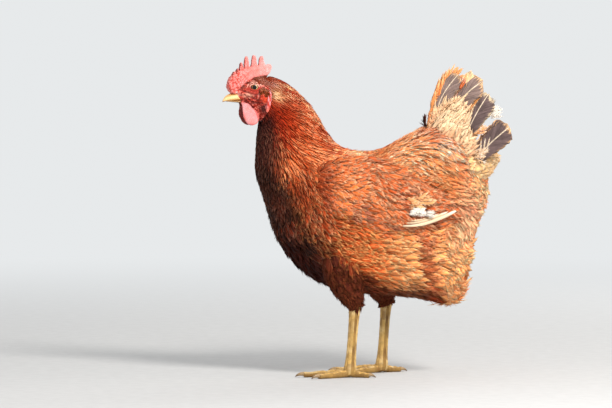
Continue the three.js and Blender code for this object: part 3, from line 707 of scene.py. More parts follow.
def streaks(p, drop, width, long, seed):
    """Soft streaks of that width and length along a lie that drops by so many degrees."""
    total = np.zeros(p.shape[:-1])
    for angle in range(0, 81, 20):
        c, s = math.cos(math.radians(angle)), math.sin(math.radians(angle))
        along, across = p[..., 0] * c - p[..., 2] * s, p[..., 0] * s + p[..., 2] * c
        q = np.stack([along / long, across / width, p[..., 1] / width / 2], -1)
        total = total + np.clip(1 - np.abs(drop - angle) / 20, 0, 1) * noise(q, 1.0, seed + angle)
    return total


def named(tint):
    """A colour of the palette by its name, or a colour as it is."""
    return PALETTE[tint] if isinstance(tint, str) else tint


def tone(first, second, share):
    """A colour between two others."""
    return mix(named(first), named(second), share)


class Paint:
    """The base and fringe colours of feathers, painted over patch by patch."""

    def __init__(self, base, fringe):
        self.base, self.fringe = base, fringe

    def lay(self, patch, base=None, share=0.0, fringe=None, fringe_share=0.0):
        """Paints base and fringe over with colours, each by its own share of the patch."""
        if base is not None:
            self.base = mix(self.base, named(base), share * patch)
        if fringe is not None:
            self.fringe = mix(self.fringe, named(fringe), fringe_share * patch)


def shaded_patches(p):
    """1 in the coat's cloudy darker patches."""
    return smooth(noise(p, 21.0, 48) + 0.4 * noise(p, 9.0, 49), 0.0, 0.7)


def fine_tone(p):
    """Soft lighter and darker clouds and streaks of the trunk and wings."""
    return 0.2 * noise(p, 17.0, 43) + 0.16 * streaks(p, 18.0, 5.0, 24.0, 48)


def flank_edge(p):
    """How far below the flank's lower edge the points lie."""
    return np.interp(p[..., 0], *FLANK_EDGE) - p[..., 2]


class Areas:
    """Areas of the coat at sections s and angles a, where p are the points: 1 inside, 0 outside."""

    def __init__(self, s, a, p):
        x, z = p[..., 0], p[..., 2]
        self.from_back = from_back = np.abs(a) + 0.14 * noise(p, 22.0, 41)  # an angle
        self.nape = 1 - smooth(from_back, 0.5, 1.6)
        self.low = smooth(s, 9.8, 13.6)  # the lower neck, and all behind it
        self.crown = smooth(s, 7.4, 5.4) * smooth(from_back, 1.5, 1.0)
        # the neck's copper side, lighter partly as a painted highlight
        self.warm = spot(p, "copper_glint_neck") * smooth(from_back, 1.9, 1.3)
        self.dim = spot(p, "dim_neck")
        self.trunk = smooth(s, 13.5, 16.5)
        self.rear = smooth(x, -60.0, 45.0)
        self.belly = smooth(z, 215.0, 160.0) * smooth(x, -20.0, 20.0)
        self.saddle = smooth(s, 15.5, 19.5) * (1 - smooth(from_back, 0.5, 1.3))
        self.rump = smooth(x, 100.0, 140.0)
        self.behind = smooth(x, 76.0, 104.0) * bump_at(z, 224.0, 38.0)
        self.lower = smooth(z, 200.0, 150.0) * smooth(x, 45.0, -15.0) * self.trunk
        # front: the throat, neck front and breast, painted dark partly as their own colour and partly as
        # painted shade
        front = smooth(from_back - 0.22 * smooth(z, 235.0, 205.0), 1.7, 2.25)
        self.front = front * smooth(s, 5.5, 7.5) * smooth(x, -30.0, -80.0)
        # under: below the flank's lower edge, painted shade
        self.under = smooth(flank_edge(p), -3.0, 8.0) * smooth(x, 90.0, 65.0) * self.trunk
        # a dark gap behind the thigh, painted shade
        behind_thigh = 46.0 + 0.3 * (173.0 - z)
        self.shaded_hollow = bump_at(x, behind_thigh, 9.0) * smooth(z, 205.0, 182.0)


def paint_neck(coat, at, p, chance):
    """Streaked copper down the nape, deep red at the sides, and flecks on the crown."""
    nape, low, warm = at.nape, at.low, at.warm
    coat.lay(low, "copper", 0.9)
    coat.lay(nape, fringe="cream", fringe_share=np.where(chance > 0.5, 0.8, 0.3))
    strand = streaks(p, neck_drop(p), 3.2, 30.0, 47)
    striped = np.maximum(nape, 0.8 * low)
    coat.lay(striped * smooth(strand, 0.02, -0.2), tone("maroon", "blood", 0.6), 0.9, "russet", 0.9)
    coat.lay(np.maximum(nape, 0.6 * low) * smooth(strand, 0.02, 0.2), fringe="cream", fringe_share=1.0)
    coat.lay(striped * smooth(strand, 0.02, 0.25), "tawny", 0.7)
    flecks = tone(tone("umber", "rust", 0.5), "mauve", smooth(strand, -0.25, 0.35))
    coat.lay(at.crown, tone("umber", "russet", 0.35), 0.9, flecks, 0.95)
    coat.lay(spot(straight(p), "behind_ear"), "apricot", 0.8, "cream", 1.0)
    # the copper side of the neck; its extra lightness in coat_light is a painted highlight
    coat.lay(warm * (0.3 + 0.7 * smooth(strand, -0.1, 0.15)), "copper", 0.65)
    coat.lay(warm * smooth(strand, 0.1, -0.1), fringe="orange", fringe_share=0.5)
    coat.lay(at.dim, "russet", 0.5, "rust", 0.6)


def paint_trunk(coat, at, p):
    """Rust at the shoulder, darker in its hollow as painted shade; paler over the back and towards the
    tail, with painted highlights on the saddle's streaks and by the tail, and a paler belly, partly painted
    light.
    """
    saddle, rear = at.saddle, at.rear
    cloudy = tone("copper", "orange", 0.5 + 0.5 * noise(p, 14.0, 45))
    coat.lay(at.trunk, tone("russet", cloudy, rear), 1.0, tone("tawny", "apricot", rear), 1.0)
    # the belly is paler, partly its own colour and partly painted light where the lamps fall off low
    coat.lay(at.belly, "tawny", 0.8, tone("sand", "peach", 0.4), 0.7)
    # painted shade in the shoulder's hollow
    coat.lay(spot(p, "shoulder"), tone("russet", "umber", 0.6), 0.95, "russet", 0.85)
    coat.lay(saddle, tone("copper", "orange", rear), 0.85, "cream", 0.8)
    band = streaks(p, 18.0, 5.0, 30.0, 52)
    # the saddle's cream-white streaks: partly pale fringes and partly painted highlight
    coat.lay(saddle * smooth(band, 0.1, 0.5), fringe=tone("cream", "white", 0.4), fringe_share=0.7)
    coat.lay(saddle * smooth(band, -0.15, -0.5), "russet", 0.6)
    # paler feathers at the tail's root, partly painted highlight
    pale_and_highlit_by_tail = np.minimum(spot(p, "before_tail") + spot(p, "below_tail"), 1.0)
    coat.lay(pale_and_highlit_by_tail, "sand", 0.6, "white", 0.8)
    coat.lay(spot(p, "below_saddle"), fringe="tawny", fringe_share=0.6)
    coat.lay(at.rump, "tawny", 0.7, "sand", 0.5)
    coat.lay(at.behind, "peach", 0.55, tone("peach", "cream", 0.45), 0.65)


def paint_dark_and_shaded_parts(coat, at, p, streak):
    """A redder lower flank; a very dark throat, front, breast and underside, partly their own colour and
    partly painted shade; painted shade in the hollow behind the thigh and before the wing; and cloudy
    darker patches.
    """
    coat.lay(at.lower, tone("russet", "copper", 0.5), 0.7, "tawny", 0.5)
    throat = 0.12 + 0.58 * smooth(p[..., 2], 265.0, 305.0)
    dark_base = tone("black", "maroon", throat + 0.4 * noise(p, 9.0, 42))
    dark_fringe = tone("maroon", "dusk", (0.12 + 0.6 * throat) * streak)
    coat.lay(at.front, dark_base, 0.97, dark_fringe, 0.95)
    # painted shade under the flank
    coat.lay(at.under, "maroon", 0.85, tone("umber", "maroon", 0.6), 0.9)
    # painted shade in the hollow behind the thigh
    coat.lay(at.shaded_hollow, tone("russet", "umber", 0.4), 0.85, "rust", 0.75)
    coat.lay(shaded_patches(p) * at.trunk * (1 - at.under), "russet", 0.6, "dusk", 0.5)
    # painted shade before the wing
    coat.lay(spot(p, "shade_before_wing") * at.trunk, "umber", 0.9)


def coat_light(at, p):
    """How much lighter or darker than its colours the coat is, by its areas, clouds and streaks: painted
    shade over the front and in the hollow behind the thigh, and painted light on the lower flank and on the
    copper side of the neck.
    """
    # painted shade: the front is made darker still
    front_shade = 0.35 + 0.14 * smooth(at.from_back, 2.3, 2.8)
    light = 1.1 + fine_tone(p) + 0.1 * noise(p, 6.0, 44) - front_shade * at.front
    # painted light: the lower flank made lighter
    light += (0.42 * smooth(p[..., 2], 240.0, 185.0) * smooth(p[..., 0], -70.0, -10.0)
              + 0.24 * at.rump + 0.12 * at.saddle)
    # painted light on the neck's copper side, and painted shade in the hollow behind the thigh
    light += (0.55 * spot(p, "light_rump") + 0.25 * at.behind + 0.2 * at.warm
              - 0.35 * at.shaded_hollow - 0.12 * at.dim)
    return light + (0.14 + 0.27 * at.low + 0.08 * at.nape) * (1 - at.trunk)


def plumage(s, a, p, chance):
    """Base and fringe colours of the coat at sections s and angles a, where p are the points."""
    at = Areas(s, a, p)
    streak = np.where(chance > 0.6, 0.9, 0.1) * smooth(p[..., 2], 340.0, 312.0)
    pale = 0.9 * np.maximum(at.nape, at.low)
    coat = Paint(tone(tone("blood", "russet", 0.2), "rust", 0.5 * np.maximum(at.nape, at.low)),
                 tone(tone("blood", "rust", 0.5), "apricot", np.maximum(streak, pale)))
    paint_neck(coat, at, p, chance)
    paint_trunk(coat, at, p)
    paint_dark_and_shaded_parts(coat, at, p, streak)
    light = coat_light(at, p)
    single = np.where(chance < 0.24, 0.66, 1.06)  # some feathers are darker
    fringe = coat.fringe * (0.45 + 0.55 * light)[..., None]
    return coat.base * (light * single)[..., None], np.minimum(fringe, 0.93)


# ---------------------------------------------------------------- vanes
# Outlines of a feather from root to tip, as shares of its half width, and the faces of a barb.
OUTLINES = {
    "contour": ([0, 0.12, 0.35, 0.6, 0.8, 0.92, 1], [0.4, 0.7, 1, 1, 0.86, 0.56, 0.14]),
    "hackle": ([0, 0.12, 0.35, 0.6, 0.8, 0.92, 1], [0.55, 0.8, 1, 0.85, 0.55, 0.3, 0.06]),
    "fluff": ([0, 0.12, 0.35, 0.6, 0.8, 0.92, 1], [0.4, 0.75, 1, 1, 0.92, 0.75, 0.5]),
    "quill": ([0, 0.12, 0.35, 0.6, 0.8, 0.92, 1], [0.35, 0.55, 0.8, 0.97, 1, 0.9, 0.6]),
    "rounded": ([0, 0.12, 0.35, 0.6, 0.8, 0.87, 0.92, 0.96, 0.98, 1],
                [0.3, 0.5, 0.8, 1, 1, 0.98, 0.92, 0.78, 0.62, 0.3]),
    "strap": ([0, 0.12, 0.35, 0.6, 0.8, 0.92, 1], [0.5, 0.8, 1, 1, 0.9, 0.7, 0.3]),
}
BARB_QUADS = np.array([[0, 1, 4, 3], [1, 2, 5, 4], [2, 0, 3, 5]])
BARB_TRIS = np.array([[3, 4, 6], [4, 5, 6], [5, 3, 6], [0, 2, 1]])
BARB_FLAT = np.zeros(len(BARB_QUADS), bool), np.zeros(len(BARB_TRIS), bool)
BARB_VANE = [0.4, 0.4, 0.4, 0.6, 0.6, 0.6, 0.8]  # how far up the vane's pattern its points lie
PATCH = 0.003  # size of a feather's place on the map for baking


class Coat:
    """Collects the feathers of one piece."""

    def __init__(self, name):
        self.name, self.solids, self.flat = name, [], []
        self.layers = {"tint": [], "fringe": [], "vane": [], "OFBake": []}

    def add(self, points, quads, tris, flat, tint, fringe, vane, place_at):
        """Adds solids with the same faces: points by solid, one solid's quads, tris and which of them
        are flat, colours and place on the vane by solid and point, and the solid's place on the map."""
        n, per, _ = points.shape
        base = (np.arange(n) * per)[:, None, None]
        faces = (quads + base).reshape(-1, 4), (tris + base).reshape(-1, 3)
        self.solids.append((points.reshape(-1, 3), *faces))
        self.flat.append([np.tile(kind, n) for kind in flat])
        on_map = (vane - 0.5) * PATCH + place_at[:, None]
        for layer, values in zip(self.layers.values(), (tint, fringe, vane, on_map)):
            size = values.shape[-1]
            layer.append(np.broadcast_to(values, (n, per, size)).reshape(-1, size))

    def build(self, material):
        """The coat as one object."""
        me = mesh_of(self.name, *joined(self.solids))
        flat = np.concatenate([kinds[k] for k in (0, 1) for kinds in self.flat])
        me.attributes.new("sharp_face", "BOOLEAN", "FACE").data.foreach_set("value", flat)
        for name, values in self.layers.items():
            store = set_colour if name in ("tint", "fringe") else set_map
            store(me, name, np.concatenate(values))
        me.uv_layers.active_index = 0
        return new_object(self.name, me, material)


def frames(surface, u, v):
    """Points of a surface with its two directions, per unit of u and v, and its normal."""
    step = 1e-3
    p = surface(u, v)
    pu = (surface(u + step, v) - surface(u - step, v)) / (2 * step)
    pv = (surface(u, v + step) - surface(u, v - step)) / (2 * step)
    return p, pu, pv, unit(np.cross(pu, pv))


def vanes(coat, spine, normal, half, tint, fringe, strength, chance, place_at, rng, *,
          outline="contour", columns=5, arch=0.14, ragged=0.12, roll=0.15, split=0.0, barbs=0, fray=0.36,
          shade=0.5, lean=0.0):
    """Adds feathers to a coat. Each is one closed solid: an arched upper face and a strip below."""
    if barbs:
        loose_barbs(coat, spine, normal, half, tint, fringe, chance, place_at, rng, outline, barbs, fray)
    n, rows, _ = spine.shape
    t = np.linspace(0, 1, rows)
    length = np.linalg.norm(np.diff(spine, axis=1), axis=-1).sum(1)
    along = unit(np.gradient(spine, axis=1))
    across = unit(np.cross(normal, along))
    up = np.cross(along, across)
    turn = (rng.normal(0, 1, n) * roll)[:, None, None]
    across = across * np.cos(turn) + up * np.sin(turn)
    up = np.cross(along, across)
    side = np.linspace(-1, 1, columns)
    width = half[:, None] * np.interp(t, *OUTLINES[outline])
    wide = width[..., None] * (1 + lean * side + ragged * rng.normal(0, 1, (n, rows, columns)) * side ** 2)
    if split:
        torn = (rng.random((n, rows, 1)) < 0.3) * (np.abs(side) > 0.4)
        wide *= 1 - split * torn * rng.random((n, rows, columns))
    slip = (ragged * rng.normal(0, 0.5, (n, 1, columns)) - 0.03 * side ** 2) * t[:, None] ** 2
    bulge = arch * width[..., None] * (1 - side ** 2)
    grid = (spine[:, :, None, :] + across[:, :, None, :] * (side * wide)[..., None]
            + up[:, :, None, :] * bulge[..., None]
            + along[:, :, None, :] * (slip * length[:, None, None])[..., None])
    top = grid_faces(rows, columns, False)[:, ::-1]
    k = np.arange(rows - 1) * columns
    below = np.stack([k, k + columns - 1, k + 2 * columns - 1, k + columns], -1)
    tris = np.concatenate([fan(0, columns), fan((rows - 1) * columns, columns, True)])
    flat = np.repeat([False, True], [len(top), len(below)]), np.ones(len(tris), bool)
    root_shade = shade + (1 - shade) * smooth(t, 0.0, 0.6)
    tint = with_alpha(tint[:, None] * root_shade[:, None], chance[:, None])
    fringe = with_alpha(fringe, np.broadcast_to(strength, n))
    vane = np.stack(np.broadcast_arrays(side * 0.5 + 0.5, t[:, None]), -1).reshape(1, -1, 2)
    coat.add(grid.reshape(n, -1, 3), np.concatenate([top, below]), tris, flat,
             np.repeat(tint, columns, 1), fringe[:, None], vane, place_at)


def loose_barbs(coat, spine, normal, half, tint, fringe, chance, place_at, rng, outline, count, fray):
    """Thin barbs that fan out past the tip and edges of each feather and fray it."""
    n, rows, _ = spine.shape
    total = np.linalg.norm(np.diff(spine, axis=1), axis=-1).sum(1)
    along = unit(np.gradient(spine, axis=1))
    across = unit(np.cross(normal, along))
    q = np.linspace(-1, 1, count)[None, :] + rng.uniform(-0.5, 0.5, (n, count)) / count
    start = 0.8 - 0.32 * q ** 2 + rng.uniform(-0.12, 0.08, (n, count))
    row = np.clip((start * (rows - 1)).astype(int), 0, rows - 2)
    i = np.arange(n)[:, None]
    width = half[:, None] * np.interp(start, *OUTLINES[outline])
    root = spine[i, row] + across[i, row] * (0.8 * q * width)[..., None]
    fan = 0.6 * q + rng.normal(0, 0.2, (n, count))
    ahead = along[i, row] * np.cos(fan)[..., None] + across[i, row] * np.sin(fan)[..., None]
    up = normal[i, row]
    aside = unit(np.cross(up, ahead))
    reach = ((total * fray)[:, None] * rng.uniform(0.5, 1.2, (n, count)))[..., None]
    droop = rng.uniform(-0.25, 0.22, (n, count, 1)) * reach
    thick = rng.uniform(0.3, 0.6, (n, count, 1))
    points = []  # two rings of three points and the tip
    for t, size in ((0.0, thick), (0.5, 0.8 * thick)):
        middle = root + ahead * reach * t + up * (0.25 + droop * t * t)
        points += [middle + aside * size, middle - aside * size, middle - up * size]
    points.append(root + ahead * reach + up * (0.25 + droop))
    share = rng.random((n * count, 1))
    tint, fringe, chance, place_at = (np.repeat(v, count, 0) for v in (tint, fringe, chance, place_at))
    tint = tint * (1 - share) + fringe * share
    vane = np.stack(np.broadcast_arrays(q.reshape(-1, 1) * 0.2 + 0.5, BARB_VANE), -1)
    coat.add(np.stack(points, 2).reshape(-1, 7, 3), BARB_QUADS, BARB_TRIS, BARB_FLAT,
             with_alpha(tint, chance)[:, None], with_alpha(fringe, 0.8)[:, None], vane, place_at)


def plant(coat, surface, u, v, length, half, lie, look, rng, *, rows=8, depth=6.0, curl=0.0, yaw=0.2,
          tousle=0.0, lift=0.0, limits=None, extent=None, outward=1.0, **shape):
    """Plants feathers at u, v of a surface. lie gives the direction in which each lies."""
    n = len(u)
    length = np.broadcast_to(np.asarray(length, float), n) * rng.uniform(0.82, 1.15, n)
    half = np.broadcast_to(np.asarray(half, float), n) * rng.uniform(0.85, 1.15, n)
    p, pu, pv, normal = frames(surface, u, v)
    normal = normal * outward
    way = lie(p, unit(pu), normal)
    way = unit(way - normal * np.sum(way * normal, -1, keepdims=True))
    swing = (rng.normal(0, 1, n) * yaw + tousle * noise(p, 24.0, 51))[:, None]
    way = way * np.cos(swing) + np.cross(normal, way) * np.sin(swing)
    # the way over the surface, in its own directions
    g11, g12, g22 = (np.sum(x * y, -1) for x, y in ((pu, pu), (pu, pv), (pv, pv)))
    r1, r2 = np.sum(way * pu, -1), np.sum(way * pv, -1)
    det = np.maximum(g11 * g22 - g12 ** 2, 1e-6)
    du, dv = (r1 * g22 - r2 * g12) / det, (r2 * g11 - r1 * g12) / det
    t = np.linspace(0, 1, rows)
    uu = u[:, None] + (du * length)[:, None] * t
    vv = v[:, None] + (dv * length)[:, None] * t
    if limits:
        uu = np.clip(uu, *limits)
    path, _, _, n_path = frames(surface, uu, vv)
    n_path = unit(n_path * outward + 0.6 * normal[:, None, :])
    # the true length, also where the surface's scale changes or it ends
    step = np.diff(path, axis=1)
    stalled = np.linalg.norm(step, axis=-1, keepdims=True) < 0.1
    heading = unit(0.75 * unit(np.where(stalled, way[:, None, :], step)) + 0.25 * way[:, None, :])
    step = heading * (length / (rows - 1))[:, None, None]
    spine = np.concatenate([p[:, None, :], p[:, None, :] + np.cumsum(step, 1)], 1)
    depth = np.broadcast_to(np.asarray(depth, float), n)
    curled = curl * length * rng.uniform(0.0, 2.0, n)
    rise = (-depth[:, None] * (1 - t) ** 1.4 + curled[:, None] * t ** 2
            + (lift + rng.uniform(-0.8, 0.5, n))[:, None])
    spine = spine + n_path * rise[..., None]
    chance = rng.random(n)
    tint, fringe, strength = look(p, u, v, chance)
    tint = tint * rng.uniform(0.82, 1.18, (n, 1))
    (u_low, u_high), (v_low, v_high) = extent
    at = np.stack([(v - v_low) / (v_high - v_low), (u - u_low) / (u_high - u_low)], -1)
    place_at = 0.01 + 0.98 * np.clip(at, 0, 1)
    vanes(coat, spine, n_path, half, tint, fringe, strength, chance, place_at, rng, **shape)


def single(coat, spine, normal, half, tint, fringe, strength, chance, place, rng, **shape):
    """Adds one feather."""
    vanes(coat, spine, normal, np.array([half]), named(tint)[None], named(fringe)[None], strength,
          np.array([chance]), np.array([place]), rng, **shape)


def tuft(coat, start, way, bow, normal, long, half, tint, fringe, strength, corner, spread, rng, **shape):
    """Adds down feathers that point given ways and bow out by some mm."""
    n, t = len(start), np.linspace(0, 1, 6)
    reach = long * rng.uniform(0.8, 1.2, n)[:, None] * t
    spine = start[:, None] + way[:, None] * reach[..., None]
    spine[..., 1] += bow * np.sin(math.pi * 0.6 * t)
    half, chance = half * rng.uniform(0.8, 1.2, n), rng.random(n)
    place = corner + spread * np.stack([rng.random(n), rng.random(n)], -1)
    vanes(coat, spine, np.broadcast_to(normal, spine.shape), half, np.tile(named(tint), (n, 1)),
          np.tile(named(fringe), (n, 1)), strength, chance, place, rng, outline="fluff", columns=5,
          ragged=0.2, split=0.4, shade=0.8, **shape)


SPREAD_STEPS = 0.7548776662466927, 0.5698402909980532  # they fill a square evenly, point by point


def scatter(surface, u_range, v_range, count, weight, rng):
    """Evenly spread places over a surface, closer where weight is high, by area."""
    nu, nv = 160, 120
    ue, ve = np.linspace(*u_range, nu + 1), np.linspace(*v_range, nv + 1)
    um, vm = (ue[1:] + ue[:-1]) / 2, (ve[1:] + ve[:-1]) / 2
    uu, vv = np.meshgrid(um, vm, indexing="ij")
    _, pu, pv, _ = frames(surface, uu, vv)
    mass = np.linalg.norm(np.cross(pu, pv), axis=-1) * np.maximum(weight(uu, vv), 0)
    rows = np.concatenate([[0], np.cumsum(mass.sum(1))])
    rows /= rows[-1]
    k = np.arange(count)
    q1, q2 = ((0.5 + k * step) % 1 for step in SPREAD_STEPS)
    u = np.interp(q1, rows, ue)
    i = np.clip(((u - u_range[0]) / (u_range[1] - u_range[0]) * nu).astype(int), 0, nu - 1)
    cdf = np.concatenate([np.zeros((nu, 1)), np.cumsum(mass, 1)], 1)
    cdf /= np.maximum(cdf[:, -1:], 1e-9)
    c = cdf[i]
    j = np.clip((c <= q2[:, None]).sum(1) - 1, 0, nv - 1)
    below, above = c[k, j], c[k, j + 1]
    v = ve[j] + (q2 - below) / np.maximum(above - below, 1e-9) * (ve[1] - ve[0])
    shifts = [rng.normal(0, (edges[1] - edges[0]) * 0.6, count) for edges in (ue, ve)]
    return u + shifts[0], v + shifts[1]


# ---------------------------------------------------------------- materials
class Nodes:
    """A short way to write a procedural material."""

    def __init__(self, tree):
        self.tree = tree

    def add(self, kind, inputs=None, **settings):
        node = self.tree.nodes.new("ShaderNode" + kind)
        for key, value in settings.items():
            setattr(node, key, value)
        for key, value in (inputs or {}).items():
            self.put(node.inputs[key], value)
        return node

    def put(self, socket, value):
        if isinstance(value, bpy.types.NodeSocket):
            self.tree.links.new(value, socket)
        else:
            socket.default_value = value

    def maths(self, operation, a, b=None, clamp=False):
        inputs = {0: a} if b is None else {0: a, 1: b}
        return self.add("Math", inputs, operation=operation, use_clamp=clamp).outputs[0]

    def times(self, a, b, clamp=False):
        return self.maths("MULTIPLY", a, b, clamp)

    def weighed(self, a, share_a, b, share_b):
        """The sum of two values, each times its share."""
        return self.maths("ADD", self.times(a, share_a), self.times(b, share_b))

    def mixed(self, factor, a, b, blend="MIX"):
        return self.add("Mix", {0: factor, 6: a, 7: b}, data_type="RGBA", blend_type=blend).outputs[2]

    def ramp(self, value, low, high, to_low=0.0, to_high=1.0):
        inputs = dict(enumerate((value, low, high, to_low, to_high)))
        return self.add("MapRange", inputs, interpolation_type="SMOOTHSTEP").outputs[0]

    def noise(self, vector, scale, detail=2.0, roughness=0.5):
        inputs = {"Vector": vector, "Scale": scale, "Detail": detail, "Roughness": roughness}
        return self.add("TexNoise", inputs).outputs[0]

    def vector(self, x, y, z):
        return self.add("CombineXYZ", {"X": x, "Y": y, "Z": z}).outputs[0]

    def bump(self, height, distance, strength):
        return self.add("Bump", {"Height": height, "Distance": distance, "Strength": strength}).outputs[0]

    def attribute(self, name):
        return self.add("Attribute", attribute_name=name).outputs

    def position(self):
        return self.add("NewGeometry").outputs["Position"]

    def grey(self, value):
        return self.add("CombineColor", {"Red": value, "Green": value, "Blue": value}).outputs[0]

    def shaded(self, colour, value):
        """A colour made darker or lighter."""
        return self.mixed(1.0, colour, self.grey(value), "MULTIPLY")


class Material(Nodes):
    """A material with one principled shader."""

    def __init__(self, name):
        self.material = bpy.data.materials.new(name)
        self.material.use_nodes = True
        super().__init__(self.material.node_tree)
        self.shader = self.tree.nodes["Principled BSDF"]

    def set(self, **values):
        """Sets the shader's inputs and returns the material."""
        for key, value in values.items():
            self.put(self.shader.inputs[key.replace("_", " ")], value)
        return self.material


def colour(name):
    """A colour of the palette with alpha, for a shader's socket."""
    return (*PALETTE[name], 1.0)


def feather_material(name, barbs=5.0, slant=3.4, shaft=None, shaft_width=0.05, shaft_share=0.5,
                     edge_from=0.42, contrast=0.5):
    """A vane: barbs that slant off a pale shaft, a paler frayed fringe and a darker middle."""
    m = Material(name)
    tint, fringe = m.attribute("tint"), m.attribute("fringe")
    place = m.add("SeparateXYZ", {"Vector": m.add("UVMap", uv_map="vane").outputs[0]})
    x, y = place.outputs[0], place.outputs[1]
    off = m.times(m.maths("ABSOLUTE", m.maths("SUBTRACT", x, 0.5)), 2.0)
    seed = m.times(tint["Alpha"], 97.0)
    run = m.maths("SUBTRACT", m.times(y, barbs), m.times(off, slant))
    barb = m.noise(m.vector(run, m.times(off, 1.1), seed), 1.0, 3.0, 0.6)
    broad = m.noise(m.vector(m.times(y, 3.0), x, seed), 1.6)
    rim = m.maths("MAXIMUM", m.maths("POWER", off, 2.0), m.ramp(y, 0.72, 1.02))
    frayed = m.maths("ADD", rim, m.times(m.maths("SUBTRACT", barb, 0.5), 1.1))
    pale = m.times(m.ramp(frayed, edge_from, edge_from + 0.4), fringe["Alpha"], clamp=True)
    base = m.mixed(pale, tint["Color"], fringe["Color"])
    line = m.times(m.ramp(off, shaft_width, shaft_width * 2.2, 1.0, 0.0), shaft_share)
    base = m.mixed(line, base, colour(shaft) if shaft else fringe["Color"])
    shade = m.ramp(m.weighed(barb, 0.75, broad, 0.45), 0.3, 0.9, 1 - contrast, 1 + 0.7 * contrast)
    height = m.maths("ADD", barb, m.times(line, 0.8))
    return m.set(Base_Color=m.shaded(base, shade), Roughness=m.ramp(barb, 0.3, 0.7, 0.55, 0.8),
                 Normal=m.bump(height, 0.0007, 0.5), Specular_IOR_Level=0.1)


def skin_material():
    """Bare skin, comb and legs by the colours in the mesh, with pores and fine papillae."""
    m = Material("bare_skin")
    tint, at = m.attribute("tint"), m.position()
    papillae = m.add("TexVoronoi", {"Vector": at, "Scale": 900.0}, feature="F1").outputs["Distance"]
    pores = m.noise(at, 2600.0, 3.0)
    veins = m.noise(at, 420.0, 4.0, 0.6)
    shade = m.ramp(m.weighed(veins, 0.6, pores, 0.4), 0.3, 0.7, 0.82, 1.12)
    raised = m.times(m.ramp(papillae, 0.0, 0.75, 1.0, 0.0), tint["Alpha"])
    base = m.mixed(m.times(raised, 0.08), m.shaded(tint["Color"], shade), colour("papilla"))
    height = m.maths("ADD", raised, m.times(pores, 0.3))
    return m.set(Base_Color=base, Roughness=m.ramp(pores, 0.3, 0.7, 0.42, 0.62),
                 Normal=m.bump(height, 0.0004, 0.6), Specular_IOR_Level=0.18, Subsurface_Weight=0.08,
                 Subsurface_Radius=(0.004, 0.0015, 0.001), Subsurface_Scale=1.0)


def horn_material():
    """Bill and claws: horn with fine growth lines and a soft gloss."""
    m = Material("horn")
    at = m.position()
    stretched = m.add("Mapping", {"Vector": at, "Scale": (0.25, 1.0, 1.4)}).outputs[0]
    lines = m.noise(stretched, 1500.0, 3.0, 0.6)
    shade = m.ramp(m.weighed(lines, 0.5, m.noise(at, 260.0, 3.0), 0.5), 0.3, 0.7, 0.8, 1.12)
    return m.set(Base_Color=m.shaded(m.attribute("tint")["Color"], shade),
                 Roughness=m.ramp(lines, 0.3, 0.7, 0.28, 0.45), Normal=m.bump(lines, 0.0002, 0.35),
                 Specular_IOR_Level=0.5, Coat_Weight=0.15, Coat_Roughness=0.25)


def eye_material():
    """A moist eyeball, flecked by fine grains of colour."""
    m = Material("eyeball")
    flecks = m.noise(m.position(), 2400.0, 4.0, 0.7)
    base = m.shaded(m.attribute("tint")["Color"], m.ramp(flecks, 0.3, 0.7, 0.7, 1.25))
    return m.set(Base_Color=base, Roughness=m.ramp(flecks, 0.3, 0.7, 0.3, 0.4), Specular_IOR_Level=0.12,
                 Coat_Weight=0.45, Coat_Roughness=0.05)


def leg_material():
    """Dry scales with clouds and scuffs."""
    m = Material("leg_scales")
    at = m.position()
    cloud, scuffs = m.noise(at, 300.0, 4.0, 0.6), m.noise(at, 1800.0, 3.0, 0.7)
    shade = m.ramp(m.weighed(cloud, 0.6, scuffs, 0.4), 0.3, 0.7, 0.75, 1.15)
    return m.set(Base_Color=m.shaded(m.attribute("tint")["Color"], shade),
                 Roughness=m.ramp(scuffs, 0.3, 0.7, 0.4, 0.65), Normal=m.bump(scuffs, 0.0003, 0.4),
                 Specular_IOR_Level=0.4)


# ---------------------------------------------------------------- the coat
# Numbers of feathers on each piece.
HACKLES, EAR_BRISTLES, WING_COVERTS, THIGH_FEATHERS, UNDERTAIL_FEATHERS = 4000, 190, 920, 415, 300
TAIL_COVERTS, CUSHION_COVERTS = 330, 220
# Sections and sizes of feathers: length on the back, length in front, half width on the back and in front.
HACKLE_SIZES = [
    ([3, 5, 6.5, 8, 10, 12, 14, 15.4], [4.5, 6, 10, 18, 26, 33, 36, 32]),
    ([3, 6.5, 8, 10, 12, 14, 15.4], [4, 6, 10, 15, 20, 24, 26]),
    ([3, 5, 8, 10, 12, 14, 15.4], [0.9, 1.1, 1.5, 1.8, 2.0, 2.3, 2.8]),
    ([3, 6.5, 8, 10, 12, 14, 15.4], [0.8, 1.3, 1.8, 2.5, 3.4, 4.2, 4.6]),
]
TRUNK_SIZES = [
    ([13, 15, 17, 20, 22, 24, 27, 29, 30], [27, 27, 28, 34, 38, 38, 30, 20, 15]),
    ([11, 13, 16, 19, 22, 25, 28, 30], [20, 25, 30, 33, 35, 34, 26, 17]),
    ([13, 15, 17, 20, 22, 24, 27, 30], [2.4, 3.0, 3.4, 3.3, 3.3, 3.8, 4.2, 3.6]),
    ([11, 13, 16, 19, 22, 25, 28, 30], [2.7, 3.6, 4.4, 4.7, 4.9, 5.0, 4.8, 3.8]),
]
BACK_EDGE = 1.15  # the angle from the back at which the trunk's upper pieces end
TRUNK_PIECES = [  # name, seed, sections, angles and number of feathers
    ("coat_back_left", 21, (13.2, 29.8), (-BACK_EDGE, 0.0), 920),
    ("coat_back_right", 22, (13.2, 29.8), (0.0, BACK_EDGE), 920),
    ("coat_breast_left", 23, (13.2, 20.5), (-math.pi, -BACK_EDGE), 940),
    ("coat_breast_right", 24, (13.2, 20.5), (BACK_EDGE, math.pi), 940),
    ("coat_flank_left", 25, (20.5, 29.8), (-math.pi, -BACK_EDGE), 1130),
    ("coat_flank_right", 26, (20.5, 29.8), (BACK_EDGE, math.pi), 1130),
]
